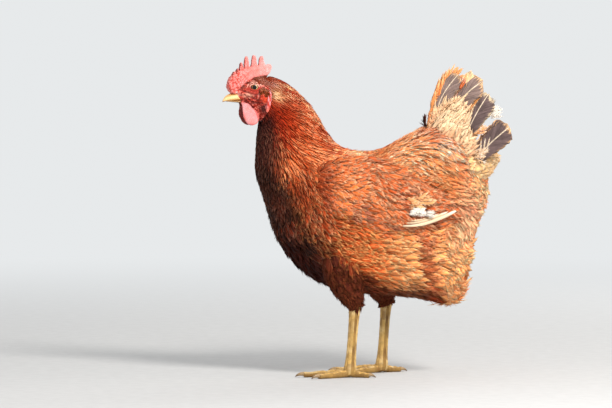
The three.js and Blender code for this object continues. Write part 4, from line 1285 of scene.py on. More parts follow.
# Settings that several coats share.
ON_BODY = dict(limits=(2.0, 29.9), extent=((3.0, 29.9), (-math.pi, math.pi)))
HACKLE = dict(outline="hackle", columns=3, arch=0.3, roll=0.2)
CONTOUR = dict(rows=7, columns=3, tousle=0.55, curl=0.025, arch=0.16, ragged=0.15, roll=0.18, split=0.4,
               barbs=6, fray=0.3, shade=0.7)


def hackle_way(p):
    """The way the hackles point."""
    drop = np.radians(neck_drop(p))
    return np.stack([np.cos(drop), 0 * drop, -np.sin(drop)], -1)


def lie_back(p, along, normal):
    """Down the neck and back along the trunk, and down over the lower rear and the rump's end."""
    on_neck = smooth(p[..., 2], 255.0, 288.0)[..., None]
    along = along * (1 - 0.75 * on_neck) + hackle_way(p) * on_neck
    low = 1 - smooth(p[..., 2], 215.0, 275.0)
    rear = np.maximum(smooth(p[..., 0], 45.0, 120.0) * low, smooth(p[..., 0], 118.0, 145.0))
    return mix(along, np.array([0.5, 0.0, -0.86]), 0.92 * rear)


def feather_start(a):
    """The section where the feathers start behind the bare face, by angle from the back."""
    return np.interp(np.abs(a), [0.75, 0.95, 1.2, 2.0, 2.5, math.pi], [2.8, 3.8, 5.4, 6.0, 6.7, 7.3])


def body_look(strength):
    """The coat's own markings, with fringes of that strength."""
    return lambda p, s, a, chance: (*plumage(s, a, p, chance), strength)


def straight_on(p, along, normal):
    """Feathers that lie along the surface's first direction."""
    return along


def evenly(u, v):
    """The same number of feathers everywhere."""
    return np.ones_like(u)


def feather_sizes(tables, s, front):
    """Lengths and half widths of feathers at sections s, where front is 0 on the back and 1 in front."""
    back_length, front_length, back_half, front_half = (np.interp(s, *table) for table in tables)
    return lerp(back_length, front_length, front), lerp(back_half, front_half, front)


def hackle_sizes(s, a):
    """Lengths and half widths of the neck's feathers."""
    return feather_sizes(HACKLE_SIZES, s, smooth(np.abs(a), 1.7, 2.5))


def trunk_sizes(s, a):
    """Lengths and half widths of the trunk's feathers."""
    return feather_sizes(TRUNK_SIZES, s, smooth(np.abs(a), 1.6, 2.4))


def neck_coat(side_name, material):
    """Hackles on one side of the neck, short on the crown and long over the shoulder."""
    side = SIDES[side_name]
    rng = np.random.default_rng(11 if side < 0 else 12)
    coat = Coat(f"coat_neck_{side_name}")

    def weight(s, a):
        length, half = hackle_sizes(s, a)
        start = feather_start(a)
        under_comb = (np.abs(a) < 0.32) & (s < 5.2)
        return smooth(s, start, start + 0.3) * ~under_comb / (length * half)

    s, a = scatter(body, (3.2, 15.4), tuple(sorted((0.0, side * math.pi))), HACKLES, weight, rng)
    ok = s > feather_start(a) - 0.1
    s, a = s[ok], a[ok]
    ear_bristles(coat, side, rng)
    plant(coat, body, s, a, *hackle_sizes(s, a), lie_back, body_look(0.85), rng, rows=7,
          depth=coat_depth(s, a) * 0.9, yaw=0.13, tousle=0.2, curl=0.015, **HACKLE, **ON_BODY)
    return coat.build(material)


def ear_bristles(coat, side, rng):
    """The brown bristles over the ear, paler along their upper edge as a painted highlight."""
    b, r = rng.uniform(0, TAU, EAR_BRISTLES), np.sqrt(rng.uniform(0, 1, EAR_BRISTLES))
    down = r * np.sin(b)
    brown = tone("umber", "rust", 0.6 * rng.random(EAR_BRISTLES))
    # painted highlight along the upper edge
    brown = tone(brown, "dusk", 0.55 * smooth(down, -0.2, -0.7))
    plant(coat, body, 4.3 + 0.75 * r * np.cos(b), side * (1.45 + 0.25 * down), 4.6, 0.6, lie_back,
          lambda p, s, a, chance: (brown, tone(brown, "tawny", 0.5 * chance), 0.8), rng, rows=5,
          depth=0.6, yaw=0.3, curl=0.1, lift=0.5, **HACKLE, **ON_BODY)


def trunk_coat(name, seed, s_range, a_range, count, material):
    """Contour feathers on one part of the trunk, fewer of them under the wing."""
    rng = np.random.default_rng(seed)
    coat = Coat(name)

    def weight(s, a):
        length, half = trunk_sizes(s, a)
        p = body(s, a)
        under_wing = spot(p, "under_wing") * smooth(np.abs(p[..., 1]), 40.0, 55.0)
        return (1 - 0.7 * under_wing) / (length * half)

    s, a = scatter(body, s_range, a_range, count, weight, rng)
    s = np.clip(s, 3, 29.8)
    p = body(s, a)
    drawn_in = 6.0 * bump_at(p[..., 2], 190.0, 38.0) * smooth(p[..., 0], 118.0, 148.0)
    plant(coat, body, s, a, *trunk_sizes(s, a), lie_back, body_look(0.9), rng,
          depth=coat_depth(s, a) * 0.85, yaw=0.19, lift=-drawn_in, **CONTOUR, **ON_BODY)
    return coat.build(material)


def wing_coat(side_name, material):
    """The coverts of a folded wing."""
    side = SIDES[side_name]
    rng = np.random.default_rng(31 + side)
    coat = Coat(f"coat_wing_{side_name}")
    surface = wing(side)

    def lie(p, along, normal):
        down = 0.12 + 0.3 * bump_at(p[..., 0], 25.0, 35.0)
        return unit(along - down[..., None] * np.array([0.0, 0.0, 1.0]))

    def look(p, w, a, chance):
        x = p[..., 0]
        coat = Paint(tone("russet", "copper", smooth(x, -78.0, -45.0)) * 1.08,
                     tone("copper", tone("apricot", "peach", 0.6), smooth(x, -85.0, -45.0)))
        coat.lay(smooth(noise(p, 13.0, 46), -0.2, 0.6) * smooth(x, 40.0, 0.0), "orange", 0.6)
        coat.lay(shaded_patches(p), "russet", 0.6, "dusk", 0.5)
        shoulder_shade = spot(p + np.array([-10.0, 0.0, 14.0]), "shoulder")  # the hollow's painted shade goes on over the wing
        coat.lay(shoulder_shade, tone("russet", "umber", 0.4), 0.85, "rust", 0.75)
        # painted shade in the gap between the coverts
        gap = spot(p, "shaded_wing_gap")
        coat.lay(gap, "umber", 0.85)
        smoky = spot(p, "smoky_edge") + spot(p, "smoky_corner")
        coat.lay(chance < 0.35 * smoky, "smoke", 0.8)
        coat.lay(np.minimum(smoky + gap, 1.0), fringe="smoke", fringe_share=0.35)
        light = 0.96 + fine_tone(p) + 0.35 * spot(p, "light_shoulder") + 0.25 * spot(p, "light_edge")
        return coat.base * (light * np.where(chance > 0.8, 0.66, 1.02))[:, None], coat.fringe, 0.9

    w, a = scatter(surface, (0.35, 6.6), (0.12, 2.95), WING_COVERTS, evenly, rng)
    size = np.interp(w, [0.3, 2, 4, 6, 7], [22, 28, 34, 35, 30])
    half = np.interp(w, [0.3, 2, 4, 6, 7], [3.2, 3.9, 4.4, 4.5, 3.8])
    plant(coat, surface, w, a, size, half, lie, look, rng, depth=4.5, yaw=0.2, limits=(0.05, 7.9),
          outward=side, extent=((0.0, 8.0), (0.0, math.pi)), **CONTOUR)
    return coat.build(material)


# The outer primaries: root x, z; tip x, z; half width; how far one hangs below a straight line.
PRIMARIES = [
    (42.0, 199.0, 114.5, 217.0, 2.3, 6.0), (46.0, 202.6, 104.0, 216.0, 1.8, 4.8),
    (48.0, 205.6, 93.0, 213.0, 1.7, 3.2), (52.0, 208.2, 84.0, 212.5, 1.5, 1.6),
]
# Tufts above them: middle x, z, spread in x and z, length, half width, number, colours.
WING_TUFTS = [
    (66.0, 216.5, 5.5, 3.8, 11.0, 2.4, 16, "white", "white"),
    (81.5, 214.5, 2.5, 2.6, 9.0, 2.0, 6, "white", "white"),
    (72.5, 231.0, 14.0, 4.5, 15.0, 2.6, 13, "apricot", "cream"),
]


def flight_feathers(side_name, material):
    """The cream outer primaries whose edge shows below the coverts, and pale tufts above them."""
    side = SIDES[side_name]
    rng = np.random.default_rng(51 + side)
    coat = Coat(f"flight_feathers_{side_name}")
    t = np.linspace(0, 1, 14)
    for k, (x0, z0, x1, z1, half, sag) in enumerate(PRIMARIES):
        y = 77.0 - 0.8 * k - 5.5 * t ** 1.6 - 4.5 * smooth(t, 0.2, 0.0)
        z = z0 + (z1 - z0) * t - sag * np.sin(math.pi * t ** 0.85)
        spine = np.stack([x0 + (x1 - x0) * t, side * y, z], -1)[None]
        normal = np.broadcast_to(unit(np.array([0.1, side * 0.97, -0.15])), spine.shape)
        single(coat, spine, normal, half, tone("cream", "sand", 0.25 * k), "white", 0.6, 0.3 + 0.2 * k,
               (0.2 + 0.1 * k, 0.5), rng, outline="quill", columns=7, ragged=0.05, roll=0.0, arch=0.3,
               shade=0.8)
    for x, z, dx, dz, long, half, n, tint, fringe in WING_TUFTS:
        start = np.stack([x + rng.uniform(-dx, dx, n) - long / 2, side * (74.5 + rng.uniform(0, 2.5, n)),
                          z + rng.uniform(-dz, dz, n)], -1)
        way = unit(np.stack([np.ones(n), np.zeros(n), rng.normal(0.0, 0.3, n)], -1))
        tuft(coat, start, way, side * 2.2, (0.0, side, 0.0), long, half, tint, fringe, 0.6, (0.0, 0.0),
             (1.0, 0.4), rng, roll=0.35, barbs=12)
    return coat.build(material)


def thigh_coat(side_name, material):
    """Feathers on the drumstick, shorter towards the hock and darker there, partly their own colour and
    partly painted shade below the flank.
    """
    side = SIDES[side_name]
    rng = np.random.default_rng(61 + side)
    coat = Coat(f"coat_thigh_{side_name}")
    surface = feathered_thigh(side)

    def look(p, u, a, chance):
        # below the flank's edge the thigh is painted dark, partly as painted shade
        low = smooth(flank_edge(p), -30.0, -15.0)
        dark = tone("maroon", "umber", 0.3 + 0.7 * chance)
        return tone("russet", dark, low), tone("tawny", "umber", 0.9 * low), 0.6

    last = len(DRUMSTICK) - 1
    u, a = scatter(surface, (0.1, last - 0.1), (0.0, TAU), THIGH_FEATHERS, lambda u, a: 1 + 0.5 * u, rng)
    size = np.interp(u, [0, 2, 4], [26, 21, 12])
    half = np.interp(u, [0, 2, 4], [6.0, 4.6, 2.4])
    plant(coat, surface, u, a, size, half, straight_on, look, rng, rows=7, columns=5,
          depth=np.interp(u, [0, 3, 4], [5, 3.5, 1.5]), yaw=0.22, curl=0.03, ragged=0.18,
          limits=(0.05, last - 0.02), outward=-1.0, extent=((0.0, last), (0.0, TAU)), split=0.4, barbs=7)
    return coat.build(material)


def undertail_coat(material):
    """The pale fluff below the tail and behind the rump, made lighter still as painted light against the
    shade under the tail.
    """
    rng = np.random.default_rng(71)
    coat = Coat("coat_undertail")
    surface = limb(UNDERTAIL)

    def look(p, u, a, chance):
        # 1.25 times lighter than its colours: painted light against the shade under the tail
        base = np.minimum(1.25 * tone(tone("apricot", "sand", 0.4), "dusk", 0.15 * chance), 0.95)
        return base, tone("sand", "cream", 0.4 + 0.6 * chance), 0.8

    def lie(p, along, normal):
        return unit(along + np.array([0.25, 0.0, -0.3]))

    last = len(UNDERTAIL) - 1
    u, a = scatter(surface, (0.0, last - 0.4), (0.0, TAU), UNDERTAIL_FEATHERS, evenly, rng)
    size = np.interp(u, [0, 1.6, 2.6], [25, 22, 14])
    plant(coat, surface, u, a, size, 0.27 * size, lie, look, rng, rows=7, columns=5, yaw=0.3,
          tousle=0.3, curl=-0.03, ragged=0.18, limits=(0.02, last - 0.02), outward=-1.0, lift=-2.5,
          extent=((0.0, last), (0.0, TAU)), outline="fluff", split=0.4, barbs=12, shade=0.9)
    return coat.build(material)


# The tail's big feathers as they show from the side: root and tip as x, z, half width, how far it
# bows, how far it is lifted off the tail's sheet, how much wider its rear vane is, shade and tip.
RECTRICES = [
    ((114.0, 330.0), (136.5, 395.0), 7.5, 0.0, 0.2, 0.0, "sand", "cream"),
    ((105.0, 332.0), (127.5, 390.0), 7.5, -1.0, 0.8, 0.0, "dusk", "apricot"),
    ((120.5, 370.5), (126.6, 382.5), 2.3, 0.0, 4.6, 0.0, "copper", "orange"),
    ((88.0, 322.0), (119.5, 391.0), 11.5, -7.0, 3.8, 0.22, "slate", "sand"),
    ((106.0, 320.0), (150.5, 382.5), 15.8, -8.0, 1.4, 0.0, "slate", "sand"),
    ((110.0, 313.0), (152.5, 362.0), 8.5, -2.0, 2.4, 0.2, "tawny", "cream"),
    ((123.5, 316.0), (166.5, 359.0), 6.0, -3.0, 0.6, 0.0, "black", "white"),
    ((129.5, 313.5), (158.0, 366.0), 12.5, -1.5, 7.4, 0.42, "slate_dark", "cream"),
    ((138.0, 277.0), (185.0, 324.0), 16.5, -2.0, 2.6, 0.0, "slate_dark", "sand"),
    ((151.5, 289.0), (154.0, 310.0), 0.6, 0.0, 4.2, 0.0, "cream", "white"),
    ((148.0, 289.0), (148.6, 307.0), 0.6, 0.0, 4.2, 0.0, "cream", "white"),
    ((155.0, 291.0), (160.0, 311.0), 0.5, 0.0, 4.2, 0.0, "cream", "white"),
]
# Slender feathers along the tail's front edge: root and tip as x, z. A dark one is apart.
FRONT_PLUMES = [
    ((85.0, 336.0), (90.5, 369.0)), ((81.0, 318.0), (87.0, 352.0)), ((86.0, 332.0), (95.0, 382.0)),
    ((89.0, 338.0), (100.0, 389.5)), ((90.0, 342.0), (103.5, 394.0)), ((92.0, 346.0), (107.5, 397.5)),
    ((95.0, 356.0), (112.5, 399.5)), ((100.0, 366.0), (118.0, 399.5)), ((106.0, 376.0), (124.0, 396.5)),
]
DARK_PLUME = (81.5, 314.0), (76.0, 338.0)
# How far up the tail's feathers the coverts reach, from the front feather to the rear one.
COVERT_REACH = [0, 0.08, 0.26, 0.25, 0.12, 0, 0, 0]
# Tufts of down on the tail: middle x, z, how far up they point, length, half width, number, colour.
TAIL_TUFTS = [
    (160.0, 339.0, 0.4, 12.5, 0.8, 18, "white"), (142.0, 318.0, 0.9, 13.0, 2.0, 12, "apricot"),
    (141.0, 286.0, 0.35, 14.0, 1.1, 16, "sand"),
]


def tail_normal(side):
    """The way out of the tail's sheet."""
    return unit(np.array([-0.36, side * 0.93, 0.1]))


def on_tail(side, root, tip, bow, lift, t):
    """The middle line and normals of a feather on the tail's sheet, bowed back by so many mm."""
    root, tip = np.array(root), np.array(tip)
    way = unit(tip - root)
    across = np.array([way[1], -way[0]])
    at = root + (tip - root) * t[:, None] + across * (bow * np.sin(math.pi * t))[:, None]
    spine = tent(side, at[:, 0], at[:, 1], lift)[None]
    return spine, np.broadcast_to(tail_normal(side), spine.shape)


def tail_coat(side_name, material):
    """The tail's big slate feathers."""
    side = SIDES[side_name]
    rng = np.random.default_rng(81 + side)
    coat = Coat(f"tail_feathers_{side_name}")
    t = np.linspace(0, 1, 30)
    sunk = 7.0 * (1 - smooth(t, 0.0, 0.25))  # the roots dive under the coverts
    for k, (root, tip, half, bow, lift, lean, shade, end) in enumerate(RECTRICES):
        single(coat, *on_tail(side, root, tip, bow, lift - sunk, t), half, shade, end, 0.95,
               0.07 + 0.09 * k, (0.1 + 0.09 * k, 0.5), rng, outline="rounded", columns=11, arch=0.09,
               ragged=0.03, roll=0.04, split=0.08, lean=lean * side, barbs=36, fray=0.07, shade=0.8)
    return coat.build(material)


def covert_look(p, u, v, chance):
    """Cream with warmer clouds, and orange where v is small."""
    warm = smooth(noise(p, 15.0, 61) + 0.6 * (chance - 0.5), -0.2, 0.8)
    base = tone(tone("peach", "cream", 0.75), tone("apricot", "peach", 0.6), warm)
    base = tone(base, "orange", 0.7 * smooth(v, 0.8, 0.1))
    return base, tone("sand", "cream", 0.5 + 0.5 * chance), 0.7


def tail_coverts(side_name, material):
    """Cream and orange feathers over the lower half of the tail, and along its front edge."""
    side = SIDES[side_name]
    rng = np.random.default_rng(86 + side)
    coat = Coat(f"tail_coverts_{side_name}")
    surface, last = tail_side(side), len(QUILLS) - 1
    u, v = scatter(surface, (-0.12, 0.36), (0.1, last - 0.6), TAIL_COVERTS,
                   lambda u, v: u < np.interp(v, np.arange(last + 1), COVERT_REACH), rng)
    plant(coat, surface, u, v, 31, 3.3, straight_on, covert_look, rng, rows=7, columns=3, depth=1.2,
          yaw=0.12, tousle=0.2, roll=0.12, outward=side, lift=5.0, extent=((-0.2, 1.0), (-0.4, last)),
          arch=0.1, split=0.2, barbs=10, fray=0.2, shade=0.95)
    front_plumes(coat, side, rng)
    cushion = covert_cushion(side)
    u, a = scatter(cushion, (0.0, 1.6), (0.0, TAU), CUSHION_COVERTS, evenly, rng)
    plant(coat, cushion, u, a, 26, 3.6, straight_on, covert_look, rng, rows=7, columns=3, depth=5.0,
          yaw=0.22, tousle=0.3, curl=0.02, ragged=0.2, roll=0.3, outward=-1.0, limits=(0.02, 2.9),
          extent=((0.0, 3.0), (0.0, TAU)), split=0.4, barbs=8, fray=0.24, shade=0.8)
    for x, z, rise, long, half, n, tint in TAIL_TUFTS:
        start = tent(side, x + rng.uniform(-3, 3, n), z + rng.uniform(-4, 4, n), 5.4)
        way = unit(np.stack([np.ones(n), side * 0.35 * np.ones(n), rise + rng.normal(0, 0.35, n)], -1))
        tuft(coat, start, way, 0.0, tail_normal(side), long, half, tint, "white", 0.5, (0.8, 0.6),
             (0.1, 0.1), rng, roll=0.4, barbs=10)
    return coat.build(material)


def front_plumes(coat, side, rng):
    """Slender orange feathers with pale ragged tips, and one dark one before the tail's root."""
    t = np.linspace(0, 1, 16)
    for k, (root, tip) in enumerate(FRONT_PLUMES):
        for lift in (0.6, 2.6):
            shift = rng.uniform(-1.0, 1.0, 2)
            spine, normal = on_tail(side, root + shift, tip + shift, -1.0, lift, t)
            single(coat, spine, normal, 2.4, tone("orange", "tawny", rng.random()),
                   tone("sand", "apricot", 0.4), 0.95, rng.random(), (0.04, 0.1 + 0.09 * k), rng,
                   outline="strap", columns=7, roll=0.1, split=0.3, barbs=16, fray=0.1, shade=0.6)
    single(coat, *on_tail(side, *DARK_PLUME, -2.0, 0.5, t), 2.0, "black", "umber", 0.4, rng.random(),
           (0.03, 0.05), rng, outline="strap", ragged=0.15, roll=0.1, barbs=7)


# ---------------------------------------------------------------- skin
def comb_solid():
    """The comb's blade: thick at the crown, with a rounded edge."""
    low, high = COMB.min(0) - 1, COMB.max(0) + 1
    x, z = np.meshgrid(*(np.arange(low[k], high[k], COMB_CELL) for k in (0, 1)), indexing="ij")
    near = np.full(x.shape, math.inf)
    inside = np.zeros(x.shape, bool)
    for (x0, z0), (x1, z1) in zip(COMB, np.roll(COMB, -1, 0)):
        near = np.minimum(near, from_line(x, z, (x0, z0), (x1, z1)))
        inside ^= ((z0 > z) != (z1 > z)) & (x < (x1 - x0) * (z - z0) / (z1 - z0 or 1e-9) + x0)
    half = COMB_BASE + (COMB_EDGE - COMB_BASE) * smooth(z, COMB_FROM, COMB_TO)
    half = half * (1 + 0.25 * smooth(x, -168.0, -184.0))
    edge = np.clip(near / COMB_ROUND, 0, 1)
    half = half * np.sqrt(np.maximum(1 - (1 - edge) ** 2, 0.02))
    quads = grid_faces(*x.shape, False)
    quads = quads[inside.ravel()[quads].all(1)]
    used = np.unique(quads)
    flat = np.stack([x.ravel()[used], 0 * used, z.ravel()[used]], -1)
    lean, out = 0.8 * noise(flat, 16.0, 5), np.array([0.0, 1.0, 0.0])
    front, back = (flat + (lean + way * half.ravel()[used])[:, None] * out for way in (-1, 1))
    points, quads, tris = sheet_solid(front, back, np.searchsorted(used, quads))
    return turned(points), quads, tris


def flap(spec, side):
    """A wattle or earlobe: a drop-shaped leaf that hangs from its top, with a soft fold."""
    top, bottom = np.array(spec["top"]), np.array(spec["bottom"])
    t, a = np.linspace(0, 1, 30)[:, None], around(28)
    low = spec["low"]
    past = np.maximum(0, (t - low) / (1 - low))
    swell = np.where(t < low, 0.24 + 0.76 * smooth(t / low), np.sqrt(np.maximum(1.02 - past ** 2, 0.02)))
    x, z = (top[k] + (bottom[k] - top[k]) * t for k in (0, 1))
    x = x + spec["bow"] * np.sin(math.pi * t)
    middle_y = spec["y"] + spec["splay"] * (top[1] - z)
    fold = 0.8 * np.sin(2.2 * math.pi * t + 1.0) * np.cos(a)
    out = middle_y + spec["thick"] * np.minimum(1, swell * 1.3) * np.sin(a) + fold
    return loft(turned(np.stack([x + spec["half"] * swell * np.cos(a), side * out, z + 0 * a], -1)))


def eye_frame(side):
    """The eyeball's middle and its directions out, back and up, looking straight ahead."""
    out = unit(np.array([-0.22, side * 0.97, 0.06]))
    back = unit(np.cross(out, np.array([0, 0, side])))
    back = back * np.sign(back[0])
    up = unit(np.cross(back, out))
    return EYE * np.array([1, side, 1]), out, back, up * np.sign(up[2])


def ring_solid(side, radius, thick, oval):
    """A soft ring of skin on the eyeball, heavier above."""
    middle, out, back, up = eye_frame(side)
    rows, columns = 48, 12
    a, b = around(rows), around(columns)
    spoke = (np.cos(a)[:, None] * back + np.sin(a)[:, None] * up * oval) * radius
    ahead = np.sqrt(np.maximum((EYE_R + 0.35) ** 2 - np.sum(spoke ** 2, -1), 4.0))
    centre = middle + out * ahead[:, None] + spoke
    fat = thick * (1 + 0.3 * np.clip(np.sin(a), 0, 1))[:, None, None]
    rings = (centre[:, None, :] + unit(spoke)[:, None, :] * fat * np.cos(b)[None, :, None]
             + out * fat * np.sin(b)[None, :, None])
    quads = grid_faces(rows + 1, columns, True) % (rows * columns)
    return turned(rings.reshape(-1, 3)), quads, NO_TRIS


def under_coat(first, last, rows):
    """The body from one section to another, below its feathers."""
    s, a = np.meshgrid(np.linspace(first, last, rows), around(96), indexing="ij")
    return loft(body(s, a, coat_depth(s, (a + math.pi) % TAU - math.pi)))


def head_solid():
    """The head, comb, wattles, lobes, lids and upper neck, which overlap."""
    lumps = list(MIDDLE_LUMPS)
    parts = [comb_solid(), under_coat(0.05, 8.2, 150)]
    for side in SIDES.values():
        parts += [flap(WATTLE, side), flap(EARLOBE, side)]
        parts += [ring_solid(side, *lid) for lid in LIDS]
        lumps += [((x, side * y, z), size) for (x, y, z), size in SIDE_LUMPS]
    for middle, size in lumps:
        parts.append(loft(turned(np.array(middle) + ball(20, 24, 0.02) * np.array(size))))
    return joined(parts)


def body_solid():
    """The trunk, neck, wings, rump and thighs, under the coat."""
    parts = [under_coat(7.4, 29.6, 130), loft(tube(limb(UNDERTAIL), 0, 2.6, 30, 32, depth=9.0))]
    for side in SIDES.values():
        parts.append(loft(tube(wing(side), 0.6, 6.6, 50, 32, depth=5.5)))
        parts.append(loft(tube(feathered_thigh(side), 0, 3.95, 30, 32, depth=3.2)))
        parts.append(loft(tube(covert_cushion(side), 0, 1.9, 16, 24, depth=7.0)))
    return joined(parts)


def leg_solid(side):
    """The shank, toes and the flesh between them, flat on the floor."""
    rings = [tube(shank(side), 0, len(SHANK) - 1, 60, 36)]
    rings += [tube(toe(side, number), 0, 2 * KNUCKLES, 50, 28) for number in TOES]
    for angle, reach in WEBS:
        x, y, _ = over_floor(side, angle, reach, 0)
        rings.append(ball(14, 20, 0.03) * np.array(WEB_SIZE) + np.array([x, y, WEB_SIZE[2]]))
    return joined([loft(above_floor(ring)) for ring in rings])


def remeshed(name, solid, cell, rounds):
    """A part of the skin as one even closed mesh."""
    ob = new_object(name, mesh_of(name, *solid))
    me = applied(ob, ("REMESH", dict(mode="VOXEL", voxel_size=cell * MM, use_smooth_shade=True)))
    relaxed(me, rounds)
    return ob


def eye_distance(p):
    """How far points of the unturned head lie from the nearer eye's axis, and towards its front."""
    side = np.where(p[:, 1] < 0, -1.0, 1.0)
    q = p * np.stack([np.ones(len(p)), side, np.ones(len(p))], -1)
    middle, out, back, up = eye_frame(1)
    d = q - middle
    flat = d - out * (d @ out)[:, None]
    return np.hypot(flat @ back, (flat @ up) / 0.9), d @ out, np.arctan2(flat @ up, flat @ back)


def comb_share(p):
    """1 on the comb, 0 off it, for points of the unturned head."""
    line = np.interp(p[:, 0], *COMB_LINE)
    return smooth(p[:, 2], line - 1.0, line + 1.5) * (np.abs(p[:, 1]) < 8.5)


def hangs(p, spec):
    """Where points are on a hanging flap: share of the way down, and how far behind its middle."""
    top, bottom = np.array(spec["top"]), np.array(spec["bottom"])
    t = (top[1] - p[:, 2]) / (top[1] - bottom[1])
    x = top[0] + (bottom[0] - top[0]) * t + spec["bow"] * np.sin(math.pi * np.clip(t, 0, 1))
    y = spec["y"] + spec["splay"] * (top[1] - p[:, 2])
    return t, p[:, 0] - x, np.abs(np.abs(p[:, 1]) - y) < 4.0


def wattle_share(p):
    """1 on the wattles."""
    t, behind, near = hangs(p, WATTLE)
    reach = WATTLE["half"] * (0.24 + 0.76 * smooth(t / WATTLE["low"]))
    return smooth(t, 0.04, 0.16) * near * smooth(np.abs(behind), reach + 1.8, reach + 0.6)


def lobe_share(p):
    """1 on the earlobes."""
    t, behind, near = hangs(p, EARLOBE)
    return near * smooth(np.abs(behind), 3.8, 2.6) * (t > -0.12) * (t < 1.15)


def crease_share(p):
    """1 in the creases of the face and 0 beside them."""
    near = np.full(len(p), 9.0)
    for line in CREASES:
        for start, end in zip(line, line[1:]):
            near = np.minimum(near, from_line(p[:, 0], p[:, 2], start, end))
    return np.exp(-(near / 0.95) ** 2) * (np.abs(p[:, 1]) > 4.0)


def head_shares(p):
    """The shares of comb, wattles and lobes."""
    return comb_share(p), wattle_share(p), lobe_share(p)


def lobe_strands(p):
    """The soft upright ridges of the earlobes, from -1 to 1."""
    return noise(p * np.array([2.0, 1, 0.7]), 3.6, 14)


def sculpt_head(me):
    """Lids, folds, pleats and papillae on the bare skin of the head."""
    world = points_of(me)
    p = straight(world)
    comb, wattle, lobe = head_shares(p)
    away, ahead, angle = eye_distance(p)
    face = smooth(p[:, 0], -126.0, -134.0) * (1 - comb) * (1 - wattle) * (1 - lobe)
    around_eye = face * (ahead > -2.0) * smooth(away, 5.4, 6.2) * (1 - smooth(away, 9.5, 12.5))
    folds = 0.4 * np.cos((away - 7.4 + 0.6 * np.sin(angle * 3)) * TAU / 2.2) * around_eye
    wrinkles = 0.4 * noise(p * np.array([1, 1, 1.8]), 3.0, 3) * face * smooth(away, 6.5, 9)
    pebble = (0.7 * pebbles(p, 2.7, 7) + 0.25 * pebbles(p, 1.3, 8)) * face * smooth(away, 7.0, 9.5)
    deep = -0.9 * crease_share(p) * face * smooth(away, 6.5, 8.0)
    front = smooth(p[:, 0], -150.0, -172.0)
    pleats = noise(p * np.array([2.2, 1.0, 0.6]), 5.0, 4)
    combed = comb * (0.5 * pleats + (0.3 + 0.75 * front) * pebbles(p, 2.3, 9) + 0.5 * noise(p, 5.0, 6))
    hung = wattle * (0.35 * pebbles(p, 2.0, 12) + 0.5 * noise(p, 6.0, 13))
    lobed = lobe * (0.5 * lobe_strands(p) + 0.2 * noise(p, 2.2, 14))
    out = folds + wrinkles + pebble + deep + combed + hung + lobed
    move_points(me, world + normals_of(me) * out[:, None])


def flesh_cloud(p):
    """Paler and redder clouds of the flesh, from 0 to 1."""
    return 0.5 + 0.5 * noise(p, 4.0, 21)


def face_colours(p, away, ahead, angle):
    """Pebbled red flesh with its patches and creases, the creases painted darker as painted shade, and the
    lids: pale above and red below.
    """
    bumps, cloud = pebbles(p, 2.7, 7), flesh_cloud(p)
    flesh = tone("deep", "red", smooth(bumps, 0.0, 0.3))
    flesh = tone(flesh, "rose", 0.85 * smooth(bumps + 0.4 * cloud, 0.45, 0.95))
    flesh = tone(flesh, "light", 0.75 * smooth(bumps + 0.3 * cloud, 0.72, 1.02))
    for x, z, dx, dz, code, strength in FACE_PATCHES:
        share = np.exp(-(((p[:, 0] - x) / dx) ** 2 + ((p[:, 2] - z) / dz) ** 2) ** 1.5)
        flesh = mix(flesh, rgb(code) * (0.6 + 0.6 * bumps[:, None]), strength * share)
    # painted shade in the creases
    flesh = tone(flesh, "deep", 0.9 * crease_share(p) * smooth(away, 6.5, 8.0))
    above = smooth(np.sin(angle), -0.2, 0.5)
    across, rise = away * np.cos(angle), away * np.sin(angle)
    rings = 0.5 + 0.5 * np.cos((np.hypot(across, rise / 0.8) - 6.0) * TAU / 3.1)
    lids = tone(tone("deep", "lid", 0.5), tone("red", "light", above), rings)
    flesh = mix(flesh, lids, 0.9 * smooth(away, 10.4, 9.2) * (ahead > 0))
    return tone(flesh, "dark", smooth(np.hypot(across, rise / 0.72), 5.3, 4.6) * (ahead > 0))


def comb_colours(p, normal):
    """Pink with paler and redder papillae, the pale papilla tops at the front painted highlights; paler at
    the rear top as painted light, and dark where the points face ahead as painted shade.
    """
    top = 0.97 * tone(tone("rose", "pink", 0.5), tone("pink", "pale", 0.35), flesh_cloud(p))
    # painted light: paler at the rear top
    top = tone(top, "pale", 0.6 * smooth(p[:, 0], -150.0, -128.0) * smooth(p[:, 2], 384.0, 394.0))
    papillae = pebbles(p, 2.3, 9)
    front = smooth(p[:, 0], -152.0, -172.0)
    top = tone(top, "red", (0.25 + 0.6 * front) * smooth(papillae, 0.42, 0.08))
    # painted highlights on the tops of the front papillae
    top = tone(top, "pale", 0.5 * front * smooth(papillae, 0.5, 0.8))
    # painted shade on the faces of the points that face ahead
    painted_shade_ahead = smooth(-straight_way(normal)[:, 0], 0.35, 0.8)
    return tone(top, "deep", 0.75 * painted_shade_ahead * smooth(p[:, 2], 388.0, 396.0))


def wattle_colours(p, normal):
    """Pink with a red rim, and deep red on the inner side as painted shade."""
    down, behind, _ = hangs(p, WATTLE)
    rim = smooth(behind, 6.6, 9.0) + 0.7 * smooth(-behind, 7.6, 9.6) + 0.7 * smooth(down, 0.86, 1.0)
    # painted shade on the side that faces the other wattle
    inner = smooth(normal[:, 1] * np.sign(p[:, 1]), 0.1, -0.3)
    hanging = tone(tone("pink", "blush", flesh_cloud(p)), "red", 0.6 * np.minimum(rim, 1.0))
    return tone(hanging, "deep", 0.9 * inner)


def lobe_colours(p):
    """Pink streaks on red, and rose at the lower end."""
    streaked = tone("red", "blush", smooth(lobe_strands(p), -0.1, 0.5))
    return tone(streaked, "rose", smooth(p[:, 2], 352.0, 344.0))


